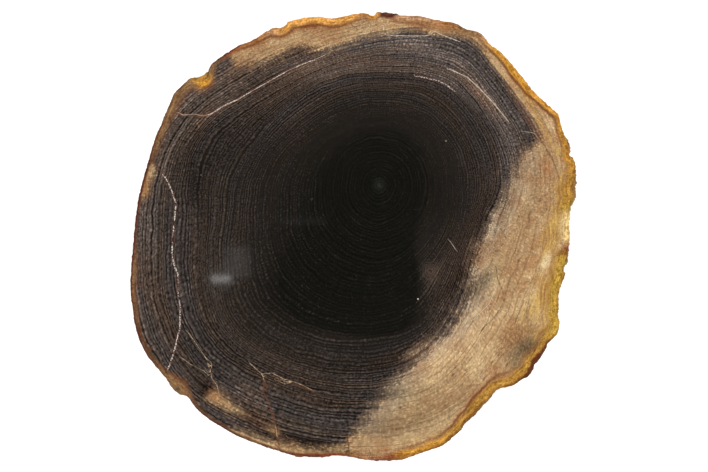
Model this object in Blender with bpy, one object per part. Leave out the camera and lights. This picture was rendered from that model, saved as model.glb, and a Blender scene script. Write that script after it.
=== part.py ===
"""A slice of petrified wood, sawn across the trunk.

One natural stone: a flat polished face on top, a flat sawn back that it rests on, and the old bark
surface as its wall, with ridges, pits, ledges and broken edges. +Z is up, out of the polished face,
and the origin is in the middle of the sawn back.
"""

import random

import bpy
import numpy as np
from mathutils import Vector, noise

# Driving dimensions, in metres
MM = 0.001
SLICE_THICKNESS = 18.0 * MM
FACE_EDGE_HEIGHT = 0.6 * MM
BACK_EDGE_HEIGHT = 0.9 * MM
WALL_COLUMN_STEP = 2.1 * MM
WALL_ROWS = 7

# The wall's relief, in metres
EDGE_SETBACK = 0.35 * MM
LEAST_EDGE_BEVEL = 0.175 * MM
BACK_SETBACK = 0.9 * MM
BELLY_HEIGHT = 0.7
BELLY_CURVE = 4.0 * MM
RIDGE_DEPTH = 3.0 * MM
RIDGE_SPACING = 8.0 * MM
RIDGE_STRETCH = 2.6
RIDGE_MEAN = 0.5
RIDGE_COARSE_SHARE = 0.5
RIDGE_FINE_SHARE = 0.3
RIDGE_FINE_SCALE = 2.3
LEDGE_DEPTH = 3.74 * MM
LEDGE_SPACING = 24.0 * MM
LEDGE_HEIGHT = 0.5
LEDGE_HEIGHT_CHANGE = 0.45
LEDGE_NOISE_LEVEL = 5.0
LEDGE_NOISE_OFFSET = Vector((0.0, 0.0, 9.0))
PIT_COUNT = 60
PIT_HEIGHT = (0.25, 0.8)
PIT_RADIUS = (2.8 * MM, 5.5 * MM)
PIT_DEPTH = (1.0 * MM, 2.4 * MM)
RELIEF_AT_FACE = 0.18
RELIEF_FADE = 0.35
SEED = 11

# The outline seen from above, clockwise from the small notch at the top, in millimetres from
# the middle of the slice: x to the right, y towards the top
OUTLINE_MM = [
    # Top right: the little dark lump, then the long even curve down to the shoulder
    (10.0, 110.7), (11.0, 112.0), (15.0, 112.6), (21.5, 111.8), (23.5, 110.6), (31.5, 110.6),
    (36.5, 109.5), (43.0, 108.0), (49.5, 107.2), (56.5, 103.8), (60.0, 103.2), (63.5, 101.5),
    (68.0, 96.8), (72.8, 92.8), (79.4, 85.9), (88.3, 74.5), (90.0, 72.5), (100.5, 62.8),
    (103.0, 59.8), (103.5, 57.2),
    # Right: the knobbly rim with its beads and bays
    (104.0, 54.8), (105.5, 50.8), (108.0, 47.2), (108.7, 43.8), (108.0, 40.8), (110.0, 39.2),
    (111.0, 34.8), (112.0, 28.2), (111.2, 22.8), (111.7, 19.8), (110.0, 16.8), (108.5, 13.2),
    (108.0, 5.8), (108.2, -1.8), (107.5, -7.8), (107.5, -12.8), (106.0, -15.0), (104.8, -16.2),
    (105.8, -18.8), (105.0, -21.8), (103.2, -26.2), (102.6, -30.2), (102.6, -35.8), (102.1, -39.2),
    (103.0, -42.2), (102.5, -47.2), (100.2, -50.8), (97.0, -53.8), (96.0, -56.8), (93.5, -60.8),
    # Lower right: the blunt corner and the hollow beside it
    (91.0, -63.8), (90.2, -66.8), (88.0, -69.8), (84.5, -72.2), (79.0, -75.0), (74.5, -76.0),
    (71.5, -77.0), (69.0, -80.2), (60.5, -89.8), (57.0, -92.8), (53.5, -97.2), (49.0, -101.2),
    (44.5, -104.8), (36.0, -107.8), (26.5, -111.5), (16.5, -112.8), (8.0, -112.2), (2.0, -111.5),
    (-2.0, -110.4), (-10.0, -110.2), (-17.0, -111.1), (-25.5, -110.9), (-33.5, -109.2),
    # Lower left: the smooth run up to the bark lump
    (-57.0, -100.8), (-67.0, -95.2), (-74.0, -91.0), (-79.5, -85.8), (-83.8, -80.1),
    (-86.5, -79.9), (-90.5, -77.8), (-93.2, -74.2), (-94.2, -71.2), (-97.0, -68.2),
    (-105.0, -57.8), (-109.5, -46.2), (-111.2, -35.2), (-112.2, -23.8), (-110.8, -3.2),
    (-108.5, 16.8), (-104.5, 33.2), (-100.0, 48.5), (-96.5, 56.8), (-92.0, 67.5), (-89.5, 72.5),
    # Upper left: the notch, then the steps of the orange rind along the top
    (-83.0, 78.5), (-81.0, 79.9), (-77.0, 80.5), (-75.0, 81.8), (-71.5, 86.2), (-67.0, 89.8),
    (-57.0, 96.1), (-52.0, 97.6), (-42.0, 103.8), (-34.2, 106.1), (-33.2, 107.6), (-24.5, 109.6),
    (-18.0, 110.0), (-12.0, 109.2), (-7.0, 109.8), (-2.0, 111.0), (3.0, 111.8), (7.0, 111.6),
    (8.2, 110.6),
]

# Where the polished face has broken back from the bark, in millimetres:
# x, y, how far the break reaches along the edge, how deep it cuts into the face
BROKEN_EDGES_MM = [
    (-77.0, 80.5, 8.0, 3.2),
    (-89.5, -77.0, 9.0, 3.2),
    (17.0, 112.3, 6.5, 1.7),
    (-38.0, 105.5, 6.0, 1.5),
    (108.5, 45.0, 8.0, 1.3),
    (111.8, 24.0, 13.0, 1.9),
    (107.5, -12.0, 6.0, 1.7),
    (89.5, -66.0, 15.0, 1.8),
    (62.0, -88.0, 16.0, 0.9),
    (22.0, -112.5, 20.0, 1.3),
    (-20.0, -111.0, 20.0, 1.2),
]

# How much of a break's depth is left in the two rows of the wall under the face
BREAK_FIRST_ROW = 0.55
BREAK_SECOND_ROW = 0.2

# How often the directions out of the stone are averaged, and the angle in radians past
# which an edge is shaded as a sharp one
DIRECTION_SMOOTHING = 3
SHARP_ANGLE = 0.6

# Colour and finish of the stone as a whole
STONE_COLOUR = (0.125, 0.088, 0.056, 1.0)
STONE_ROUGHNESS = 0.28


def clear_scene():
    for found in list(bpy.data.objects):
        bpy.data.objects.remove(found, do_unlink=True)


def curve_point(before, start, end, after, t):
    """A point on the smooth curve that runs from start to end and passes through its neighbours."""
    return 0.5 * (
        2 * start
        + (end - before) * t
        + (2 * before - 5 * start + 4 * end - after) * t**2
        + (3 * start - before - 3 * end + after) * t**3
    )


def outline_loop():
    """The outline as closely spaced points, counter-clockwise, centred on its own box."""
    corners = np.array(OUTLINE_MM[::-1]) * MM
    count = len(corners)
    loop = []
    for i in range(count):
        before, start, end, after = (corners[(i + k) % count] for k in (-1, 0, 1, 2))
        steps = max(1, round(float(np.linalg.norm(end - start)) / WALL_COLUMN_STEP))
        loop += [curve_point(before, start, end, after, k / steps) for k in range(steps)]
    loop = np.array(loop)
    return loop - (loop.min(axis=0) + loop.max(axis=0)) / 2


def outward_directions(loop):
    """The direction out of the stone at each point, averaged with its neighbours'."""
    along = np.roll(loop, -1, axis=0) - np.roll(loop, 1, axis=0)
    out = np.column_stack([along[:, 1], -along[:, 0]])
    out /= np.linalg.norm(out, axis=1, keepdims=True)
    for _ in range(DIRECTION_SMOOTHING):
        out = np.roll(out, 1, axis=0) + 2 * out + np.roll(out, -1, axis=0)
        out /= np.linalg.norm(out, axis=1, keepdims=True)
    return out


def face_setback(loop):
    """How far the polished face's edge lies inside the outline."""
    setback = np.full(len(loop), EDGE_SETBACK)
    for x, y, reach, depth in BROKEN_EDGES_MM:
        distance = np.linalg.norm(loop - np.array([x, y]) * MM, axis=1) / (reach * MM)
        setback += depth * MM * np.clip(1 - distance**2, 0, 1) ** 2
    return setback


def ridge_depth(point, height):
    """Ridges and furrows that run up the wall as the grain of the trunk did."""
    scale = 1 / RIDGE_SPACING
    place = Vector((point[0] * scale, point[1] * scale, height * scale / RIDGE_STRETCH))
    coarse = noise.noise(place)
    fine = noise.noise(place * RIDGE_FINE_SCALE)
    return RIDGE_DEPTH * (RIDGE_MEAN + RIDGE_COARSE_SHARE * coarse + RIDGE_FINE_SHARE * fine)


def ledge_depth(point, height):
    """Short steps across the wall where flakes of bark have come away."""
    place = Vector((point[0] / LEDGE_SPACING, point[1] / LEDGE_SPACING, LEDGE_NOISE_LEVEL))
    step_share = LEDGE_HEIGHT + LEDGE_HEIGHT_CHANGE * noise.noise(place)
    strength = max(0.0, noise.noise(place + LEDGE_NOISE_OFFSET))
    return LEDGE_DEPTH * strength * float(height < step_share * SLICE_THICKNESS)


def pit_depths(loop, heights):
    """Rounded hollows scattered over the wall."""
    draw = random.Random(SEED)
    depths = np.zeros((len(heights), len(loop)))
    for _ in range(PIT_COUNT):
        middle = loop[draw.randrange(len(loop))]
        height = draw.uniform(*PIT_HEIGHT) * SLICE_THICKNESS
        radius = draw.uniform(*PIT_RADIUS)
        depth = draw.uniform(*PIT_DEPTH)
        flat = np.linalg.norm(loop - middle, axis=1)
        distance = np.hypot(flat[None, :], heights[:, None] - height) / radius
        depths += depth * np.clip(1 - distance**2, 0, 1) ** 2
    return depths


def bark_depth(loop, heights):
    """How far each point of the wall lies inside the outline: each column touches it once."""
    depths = pit_depths(loop, heights)
    for row, height in enumerate(heights):
        for column, point in enumerate(loop):
            depths[row, column] += ridge_depth(point, height) + ledge_depth(point, height)
        # The relief dies out towards the polished face, whose edge keeps close to the outline
        below_face = (SLICE_THICKNESS - height) / (RELIEF_FADE * SLICE_THICKNESS)
        depths[row] *= RELIEF_AT_FACE + (1 - RELIEF_AT_FACE) * min(1.0, below_face)
        from_belly = height / SLICE_THICKNESS - BELLY_HEIGHT
        depths[row] += BELLY_CURVE * from_belly**2
    return depths - depths.min(axis=0)


def wall_rows(loop):
    """Heights and setbacks of the wall's rows, from the sawn back up to the polished face."""
    top = SLICE_THICKNESS
    inner = np.linspace(BACK_EDGE_HEIGHT, top - FACE_EDGE_HEIGHT, WALL_ROWS)
    depths = bark_depth(loop, inner)
    face = face_setback(loop)
    # The broken edges slope down into the top two rows of the bark
    depths[-1] = np.maximum(depths[-1], face * BREAK_FIRST_ROW)
    depths[-2] = np.maximum(depths[-2], (face - EDGE_SETBACK) * BREAK_SECOND_ROW)
    depths -= depths.min(axis=0)
    back = depths[0] + BACK_SETBACK
    face = np.maximum(face, depths[-1] + LEAST_EDGE_BEVEL)
    heights = np.concatenate([[0.0], inner, [top]])
    return heights, np.vstack([back, depths, face])


def slice_mesh():
    loop = outline_loop()
    out = outward_directions(loop)
    heights, setbacks = wall_rows(loop)
    count = len(loop)
    rows = len(heights)
    points = []
    for height, setback in zip(heights, setbacks):
        flat = loop - out * setback[:, None]
        points += [(x, y, height) for x, y in flat]
    faces = [tuple(reversed(range(count))), tuple(range((rows - 1) * count, rows * count))]
    for row in range(rows - 1):
        for column in range(count):
            right = (column + 1) % count
            low, high = row * count, (row + 1) * count
            faces.append((low + column, low + right, high + right, high + column))
    mesh = bpy.data.meshes.new("petrified_wood_slice")
    mesh.from_pydata(points, [], faces)
    return centred(mesh)


def centred(mesh):
    """Moves the mesh so that its box is centred over the origin."""
    corners = np.array([vertex.co for vertex in mesh.vertices])
    middle = (corners.min(axis=0) + corners.max(axis=0)) / 2
    for vertex in mesh.vertices:
        vertex.co.x -= middle[0]
        vertex.co.y -= middle[1]
    return mesh


def stone_material():
    material = bpy.data.materials.new("petrified_wood")
    material.use_nodes = True
    shader = material.node_tree.nodes["Principled BSDF"]
    shader.inputs["Base Color"].default_value = STONE_COLOUR
    shader.inputs["Roughness"].default_value = STONE_ROUGHNESS
    shader.inputs["Metallic"].default_value = 0.0
    return material


def main():
    clear_scene()
    mesh = slice_mesh()
    mesh.shade_smooth()
    mesh.set_sharp_from_angle(angle=SHARP_ANGLE)
    mesh.materials.append(stone_material())
    stone = bpy.data.objects.new("petrified_wood_slice", mesh)
    bpy.context.scene.collection.objects.link(stone)
    print("petrified_wood_slice:", len(mesh.vertices), "points,", len(mesh.polygons), "faces")


main()
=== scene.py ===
# %% [markdown]
# # A slice of petrified wood
# A tree trunk turned to quartz in the ground, and the log was sawn across and polished on one
# face. The stone is one piece. What makes it worth looking at is the polished face: some fifty
# growth rings round an off-centre pith, a black heart, a tan outer zone, veins of pale quartz and
# a golden rind where the bark was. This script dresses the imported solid, which is already the
# right size and in the right place, so everything below is measured from it.

import bmesh
import bpy
import numpy as np
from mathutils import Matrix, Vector, geometry, kdtree
from mathutils.bvhtree import BVHTree


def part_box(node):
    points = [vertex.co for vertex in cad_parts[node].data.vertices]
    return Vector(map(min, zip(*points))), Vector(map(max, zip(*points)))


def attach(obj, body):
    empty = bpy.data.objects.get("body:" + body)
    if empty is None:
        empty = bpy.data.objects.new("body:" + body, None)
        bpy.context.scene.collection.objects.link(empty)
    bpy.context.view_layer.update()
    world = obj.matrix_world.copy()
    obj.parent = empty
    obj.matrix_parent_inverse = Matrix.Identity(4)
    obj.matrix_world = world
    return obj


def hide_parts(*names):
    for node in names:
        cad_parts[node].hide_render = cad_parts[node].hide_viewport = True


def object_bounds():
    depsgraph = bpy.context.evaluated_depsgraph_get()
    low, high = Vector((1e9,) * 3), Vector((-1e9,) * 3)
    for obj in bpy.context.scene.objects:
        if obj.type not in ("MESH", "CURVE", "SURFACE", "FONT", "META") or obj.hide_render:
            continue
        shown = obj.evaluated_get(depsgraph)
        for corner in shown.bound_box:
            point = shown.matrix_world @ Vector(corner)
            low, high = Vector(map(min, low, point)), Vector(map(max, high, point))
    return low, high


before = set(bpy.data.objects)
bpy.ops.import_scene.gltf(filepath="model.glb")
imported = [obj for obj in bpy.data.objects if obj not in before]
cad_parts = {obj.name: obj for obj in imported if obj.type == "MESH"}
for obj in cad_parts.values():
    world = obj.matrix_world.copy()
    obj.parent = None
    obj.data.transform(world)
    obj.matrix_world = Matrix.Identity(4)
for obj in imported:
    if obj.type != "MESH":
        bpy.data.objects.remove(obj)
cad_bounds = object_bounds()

NODE = "petrified_wood_slice"
MM = 0.001
WELD = 0.001 * MM
solid_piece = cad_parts[NODE]
low_corner, high_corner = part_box(NODE)
thickness = high_corner[2]
print("slice:", [round((high - low) / MM, 1) for low, high in zip(low_corner, high_corner)], "mm")

# %% [markdown]
# ## Places on the face
# The photograph looks straight down on the slice, so a place in it is a place on the face. One
# pixel of it is half a millimetre. All positions below are read off it in pixels, and this
# helper turns them into metres on the stone.

# %% From the photograph's pixels to metres
PIXEL = 0.5 * MM
PHOTO_MIDDLE = np.array([354.0, 236.5])
PITH = (379.0, 185.0)


def on_face(spots):
    """Places read off the photograph, as metres on the face."""
    return (np.atleast_2d(np.array(spots, float)) - PHOTO_MIDDLE) * (PIXEL, -PIXEL)


pith = on_face(PITH)[0]
print("pith at", np.round(pith / MM, 1), "mm")

# %% [markdown]
# ## The edge of the face
# The solid's wall has wide facets, fine for physics but too coarse for a close look. The visual
# piece is a finer skin over it. It starts from the edge of the polished face: the solid's
# triangles are loose, so a copy is welded first, and the edge is the loop where the top triangles
# end. A smooth curve through its corners is cut into 1300 columns, a little over half a millimetre
# apart.

# %% Find the face's edge and space it evenly
COLUMNS = 1300
OUTWARD_REACH = 4
OUTWARD_SMOOTHING = 6


def welded_solid(piece):
    solid = bmesh.new()
    solid.from_mesh(piece.data)
    bmesh.ops.remove_doubles(solid, verts=solid.verts, dist=WELD)
    return solid


def face_edge(solid):
    """The corners of the face's edge in order, counter-clockwise seen from above."""
    top = {face for face in solid.faces if min(v.co.z for v in face.verts) > thickness - WELD}
    following = {}
    for face in solid.faces:
        if face not in top:
            continue
        for corner in face.loops:
            if any(other not in top for other in corner.edge.link_faces):
                following[corner.vert] = corner.link_loop_next.vert
    first = next(iter(following))
    loop = [first]
    while following[loop[-1]] != first:
        loop.append(following[loop[-1]])
    return np.array([vertex.co.xy for vertex in loop])


def evenly_spaced(corners, count):
    """The smooth closed curve through the corners, as evenly spaced points."""
    steps = np.linalg.norm(np.roll(corners, -1, axis=0) - corners, axis=1)
    reached = np.concatenate([[0.0], np.cumsum(steps)])
    travelled = np.arange(count) * reached[-1] / count
    first = np.searchsorted(reached, travelled, side="right") - 1
    t = ((travelled - reached[first]) / steps[first])[:, None]
    a, b, c, d = (corners[(first + k) % len(corners)] for k in (-1, 0, 1, 2))
    bend = (2 * a - 5 * b + 4 * c - d) * t**2 + (3 * b - a - 3 * c + d) * t**3
    return b + 0.5 * ((c - a) * t + bend)


def outward_directions(loop):
    along = np.roll(loop, -OUTWARD_REACH, axis=0) - np.roll(loop, OUTWARD_REACH, axis=0)
    out = np.column_stack([along[:, 1], -along[:, 0]])
    for _ in range(OUTWARD_SMOOTHING):
        out = np.roll(out, 1, axis=0) + 2 * out + np.roll(out, -1, axis=0)
    return out / np.linalg.norm(out, axis=1, keepdims=True)


solid = welded_solid(solid_piece)
edge_loop = evenly_spaced(face_edge(solid), COLUMNS)
outward = outward_directions(edge_loop)
edge_length = np.linalg.norm(np.roll(edge_loop, -1, axis=0) - edge_loop, axis=1).sum()
print("edge of the face:", round(edge_length / MM, 1), "mm round")

# %% [markdown]
# ## The wall
# The wall is the log's old surface, with ledges, pits and broken corners. A Shrinkwrap modifier
# could lay a net over the solid, but it would slide points sideways at the ledges. Here a ray is
# sent in for each column and height until it meets the solid, which gives how far the wall stands
# out or lies back there. A light smoothing along and up the wall rounds off the facets.

# %% Feel the solid's wall with rays
REACH = 6 * MM
JUST_INSIDE = 0.02 * MM
WALL_SMOOTHING = 3
lower_rows = np.array([0.0, 0.3, 0.8]) * MM
middle_rows = np.linspace(1.5 * MM, thickness - 1.3 * MM, 19)
upper_rows = thickness - np.array([0.8, 0.45, 0.18, 0.0]) * MM
heights = np.concatenate([lower_rows, middle_rows, upper_rows])
ROWS = len(heights)


def wall_offsets(solid):
    """How far out from the face's edge the wall is, in metres, for each row and column."""
    tree = BVHTree.FromBMesh(solid)
    offsets = np.zeros((ROWS, COLUMNS))
    for row, height in enumerate(np.clip(heights, JUST_INSIDE, thickness - JUST_INSIDE)):
        for column, ((x, y), (out_x, out_y)) in enumerate(zip(edge_loop, outward)):
            start = Vector((x + out_x * REACH, y + out_y * REACH, height))
            hit = tree.ray_cast(start, Vector((-out_x, -out_y, 0.0)), 2 * REACH)
            offsets[row, column] = REACH - hit[3] if hit[0] else offsets[row, column - 1]
    return offsets


def softened(offsets):
    for _ in range(WALL_SMOOTHING):
        offsets = (np.roll(offsets, 1, axis=1) + 2 * offsets + np.roll(offsets, -1, axis=1)) / 4
        inner = (offsets[:-2] + 2 * offsets[1:-1] + offsets[2:]) / 4
        offsets = np.vstack([offsets[:1], inner, offsets[-1:]])
    return offsets


offsets = softened(wall_offsets(solid))
offsets[-1] = 0.0
wall = [edge_loop + outward * row[:, None] for row in offsets]
print("wall stands out by", np.round([offsets.min() / MM, offsets.max() / MM], 2), "mm at most")

# %% [markdown]
# ## Filling the two flat faces
# The rings and veins will be stored as numbers on the vertices, so the polished face needs an even
# net of points, about a millimetre apart. A grid cut to the outline would leave slivers along the
# edge. A constrained Delaunay triangulation joins an even net to the edge loop with no gap. The
# sawn back is seen less, so its net is coarser.

# %% Nets of triangles inside a loop
FACE_SPACING = 1.08 * MM
BACK_SPACING = 2.4 * MM
ROW_STEP = 0.866
EDGE_CLEARANCE = 0.7


def distances_to(loop, places):
    """How far each place is from the nearest point of a loop."""
    near = kdtree.KDTree(len(loop))
    for number, (x, y) in enumerate(loop):
        near.insert((x, y, 0.0), number)
    near.balance()
    return np.array([near.find((x, y, 0.0))[2] for x, y in places])


def net_points(loop, spacing):
    """Evenly spread points inside a loop, in rows, none of them close to the loop."""
    after = np.roll(loop, -1, axis=0)
    points = []
    row_heights = np.arange(loop[:, 1].min(), loop[:, 1].max(), spacing * ROW_STEP)
    for row, y in enumerate(row_heights):
        crossed = (loop[:, 1] > y) != (after[:, 1] > y)
        start, end = loop[crossed], after[crossed]
        share = (y - start[:, 1]) / (end[:, 1] - start[:, 1])
        ends = np.sort(start[:, 0] + share * (end[:, 0] - start[:, 0]))
        shift = 0.5 * (row % 2)
        for left, right in zip(ends[::2], ends[1::2]):
            first, last = np.ceil(left / spacing - shift), np.floor(right / spacing - shift)
            points += [((k + shift) * spacing, y) for k in np.arange(first, last + 1)]
    points = np.array(points)
    return points[distances_to(loop, points) > EDGE_CLEARANCE * spacing]


def net_triangles(loop, inner):
    """The triangles between a loop and the points inside it, turned counter-clockwise."""
    points = [Vector(p) for p in np.vstack([loop, inner]) / MM]
    rim = [(k, (k + 1) % len(loop)) for k in range(len(loop))]
    result = geometry.delaunay_2d_cdt(points, rim, [], 1, WELD)
    assert len(result[0]) == len(points)
    triangles = np.array(result[2])
    a, b, c = (np.array(points)[triangles[:, k]] for k in range(3))
    clockwise = np.cross(b - a, c - a) < 0
    triangles[clockwise] = triangles[clockwise][:, ::-1]
    return triangles


face_points = net_points(wall[-1], FACE_SPACING)
face_triangles = net_triangles(wall[-1], face_points)
back_points = net_points(wall[0], BACK_SPACING)
back_triangles = net_triangles(wall[0], back_points)
print("polished face:", len(face_triangles), "triangles; back:", len(back_triangles))

# %% [markdown]
# ## One closed skin
# The wall's rows come first in the list of vertices, then the points of the face, then those of
# the back. The face's net uses the wall's top row as its edge and the back's net uses the bottom
# row, so the skin is closed with no doubled vertices.

# %% Join wall, face and back
def at_height(places, height):
    """Flat places as points in space."""
    return np.column_stack([places, np.full(len(places), height)])


wall_points = np.vstack([at_height(row, height) for row, height in zip(wall, heights)])
points = np.vstack([wall_points, at_height(face_points, thickness), at_height(back_points, 0.0)])
wall_count = len(wall_points)
top_row_start = wall_count - COLUMNS
face_start = wall_count
back_start = wall_count + len(face_points)

columns = np.arange(COLUMNS)
right_columns = (columns + 1) % COLUMNS
wall_quads = np.vstack([
    low + np.column_stack([columns, right_columns, COLUMNS + right_columns, COLUMNS + columns])
    for low in range(0, top_row_start, COLUMNS)
])


def numbered(triangles, rim_start, inner_start):
    """Gives a net's triangles the numbers that their vertices have in the whole skin."""
    return np.where(triangles < COLUMNS, triangles + rim_start, triangles - COLUMNS + inner_start)


face_faces = numbered(face_triangles, top_row_start, face_start)
back_faces = numbered(back_triangles, 0, back_start)[:, ::-1]
faces = face_faces.tolist() + wall_quads.tolist() + back_faces.tolist()
face_part = np.repeat([0, 1, 2], [len(face_faces), len(wall_quads), len(back_faces)])
print("skin:", len(points), "points,", len(faces), "faces")

# %% [markdown]
# ## Round the rim
# The rind isn't the same all the way round: amber at the upper right, orange along the top, a
# plain dark lip on the left. It could be painted into an image, but numbers stay sharp at any
# size. It is described like a walk round the edge. Each stop has its place, how wide the coloured
# rind is there, its colour by name, and how strong are the brown line inside the rind and the dark
# lip at the very edge. The dark lip is partly the rind's own dark edge and partly painted shade
# where the face turns down. Between stops the values blend.

# %% The rind's colours
LIGHT_LEVEL = 1.2


def stone_colour(red, green, blue):
    """A colour as the eye reads it, 0 to 255, as the stone's own colour in the studio's light."""
    seen = np.array([red, green, blue]) / 255
    linear = np.where(seen > 0.04045, ((seen + 0.055) / 1.055) ** 2.4, seen / 12.92)
    return tuple((linear / LIGHT_LEVEL).tolist()) + (1.0,)


RIND_COLOURS = {
    "amber": stone_colour(204, 146, 58),
    "gold": stone_colour(178, 132, 58),
    "orange": stone_colour(222, 160, 82),
    "rust": stone_colour(162, 108, 62),
    "red": stone_colour(138, 72, 46),
    "maroon": stone_colour(82, 34, 26),
    "cream": stone_colour(228, 196, 132),
    "pink": stone_colour(182, 138, 98),
    "tan": stone_colour(134, 102, 68),
    "olive": stone_colour(180, 142, 60),
    "bark": stone_colour(102, 77, 55),
    "slate": stone_colour(86, 71, 55),
}
print("the rind's colours:", list(RIND_COLOURS))

# %% The rind's stops, clockwise from the upper left
# x, y, width of the rind in pixels, colour, inner line 0 to 1, dark lip and edge shade 0 to 1
RIND_STOPS = [
    (187, 79, 9, "tan", 0.0, 0.1), (193, 76, 6, "amber", 0.6, 0.0),
    (201, 75, 7, "amber", 0.8, 0.0), (209, 70, 6, "tan", 0.0, 0.1), (217, 60, 4, "bark", 0.0, 0.3),
    (230, 51, 3, "red", 0.2, 0.5), (243, 42, 4, "rust", 0.8, 0.4), (258, 35, 5, "rust", 0.9, 0.1),
    (270, 29, 6, "pink", 0.9, 0.1), (283, 24, 7, "orange", 0.8, 0.0),
    (300, 18, 8, "orange", 1.0, 0.0), (318, 17, 7, "orange", 1.0, 0.0),
    (350, 15, 7, "orange", 0.7, 0.0), (364, 17, 4, "rust", 0.3, 0.0),
    (376, 15, 4, "orange", 0.2, 0.1), (382, 12, 3, "maroon", 0.0, 0.4),
    (393, 12, 3, "maroon", 0.0, 0.3), (399, 15, 6, "pink", 0.5, 0.0),
    (425, 20, 7, "pink", 0.5, 0.1), (445, 25, 9, "rust", 0.2, 0.1), (465, 30, 6, "tan", 0.2, 0.2),
    (482, 38, 5, "pink", 0.2, 0.2), (495, 50, 5, "amber", 0.8, 0.0),
    (515, 68, 6, "amber", 1.0, 0.1), (535, 90, 6, "amber", 1.0, 0.1),
    (552, 108, 6, "amber", 1.0, 0.1), (562, 122, 5, "amber", 0.8, 0.2),
    # At (569, 155) the amber is partly the rind's own colour and partly a painted glint.
    (565, 135, 5, "gold", 0.4, 0.3), (569, 155, 7, "amber", 0.3, 0.3),
    (574, 172, 10, "gold", 0.3, 0.4), (577, 192, 11, "gold", 0.2, 0.4),
    (573, 207, 13, "olive", 0.2, 0.3), (569, 218, 10, "cream", 0.2, 0.2),
    (569, 238, 10, "cream", 0.1, 0.2), (569, 248, 5, "red", 0.0, 0.3),
    (569, 258, 12, "olive", 0.2, 0.2), (562, 280, 12, "olive", 0.3, 0.2),
    (558, 300, 13, "olive", 0.3, 0.2), (559, 320, 12, "olive", 0.2, 0.2),
    (559, 335, 12, "olive", 0.3, 0.2), (548, 343, 9, "gold", 0.2, 0.9),
    (545, 352, 9, "gold", 0.2, 1.0), (534, 370, 10, "gold", 0.3, 1.0),
    (522, 382, 11, "gold", 0.6, 1.0), (503, 388, 11, "gold", 0.9, 0.5),
    (485, 402, 9, "gold", 1.0, 0.6), (465, 422, 8, "gold", 1.0, 0.8),
    (450, 436, 8, "gold", 0.8, 0.8), (430, 447, 8, "amber", 0.4, 0.6),
    (405, 455, 7, "amber", 0.3, 0.5), (390, 459, 5, "red", 0.0, 0.4),
    (370, 458, 5, "pink", 0.2, 0.6), (350, 456, 3, "rust", 0.2, 0.4),
    (332, 455, 2, "red", 0.0, 0.3), (305, 456, 1.5, "red", 0.0, 0.5),
    (280, 450, 2, "bark", 0.0, 0.5), (255, 441, 3, "tan", 0.0, 0.6),
    (225, 425, 3, "slate", 0.0, 0.8), (203, 405, 3, "bark", 0.0, 0.8),
    (188, 394, 4, "tan", 0.2, 0.3), (178, 392, 7, "tan", 0.4, 0.0), (168, 382, 6, "tan", 0.5, 0.1),
    (163, 374, 4, "tan", 0.4, 0.4), (150, 357, 4, "bark", 0.0, 0.8),
    (140, 335, 4, "bark", 0.0, 0.9), (133, 300, 5, "tan", 0.1, 1.0),
    (130, 270, 5, "tan", 0.1, 1.0), (133, 240, 3, "bark", 0.0, 1.0),
    (137, 205, 3, "bark", 0.0, 1.0), (143, 180, 2, "bark", 0.0, 1.0),
    (149, 160, 4, "bark", 0.1, 0.9), (160, 135, 7, "tan", 0.1, 0.7),
    (168, 112, 8, "tan", 0.1, 0.5), (172, 98, 8, "tan", 0.2, 0.5), (179, 87, 8, "tan", 0.1, 0.4),
]

# %% Values between the stops
def angles_from(middle, places):
    return np.degrees(np.arctan2(places[:, 1] - middle[1], places[:, 0] - middle[0])) % 360


def round_table(angles, values, wanted):
    """Values given at some angles, blended to the wanted angles all the way round."""
    order = np.argsort(angles)
    ring = np.concatenate([angles[order] - 360, angles[order], angles[order] + 360])
    return np.interp(wanted, ring, np.tile(values[order], 3))


stop_angles = angles_from((0.0, 0.0), on_face([stop[:2] for stop in RIND_STOPS]))


def rind_value(choose, angles):
    return round_table(stop_angles, np.array([choose(stop) for stop in RIND_STOPS], float), angles)


print(len(RIND_STOPS), "stops round the rim")

# %% [markdown]
# ## Growth rings
# A ring isn't a circle: it bulges to the lower left and flattens along the top, as the trunk did.
# Blender's wave texture would draw circles with some wobble. Instead a few rings are read off all
# the way round, as distances from the pith at some angles. Every point's age is then found between
# the two rings on either side of it, so the rings in between keep a shape that changes slowly. The
# age is one smooth number over the face, and the shader draws a line each time it passes a whole
# number.

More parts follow.
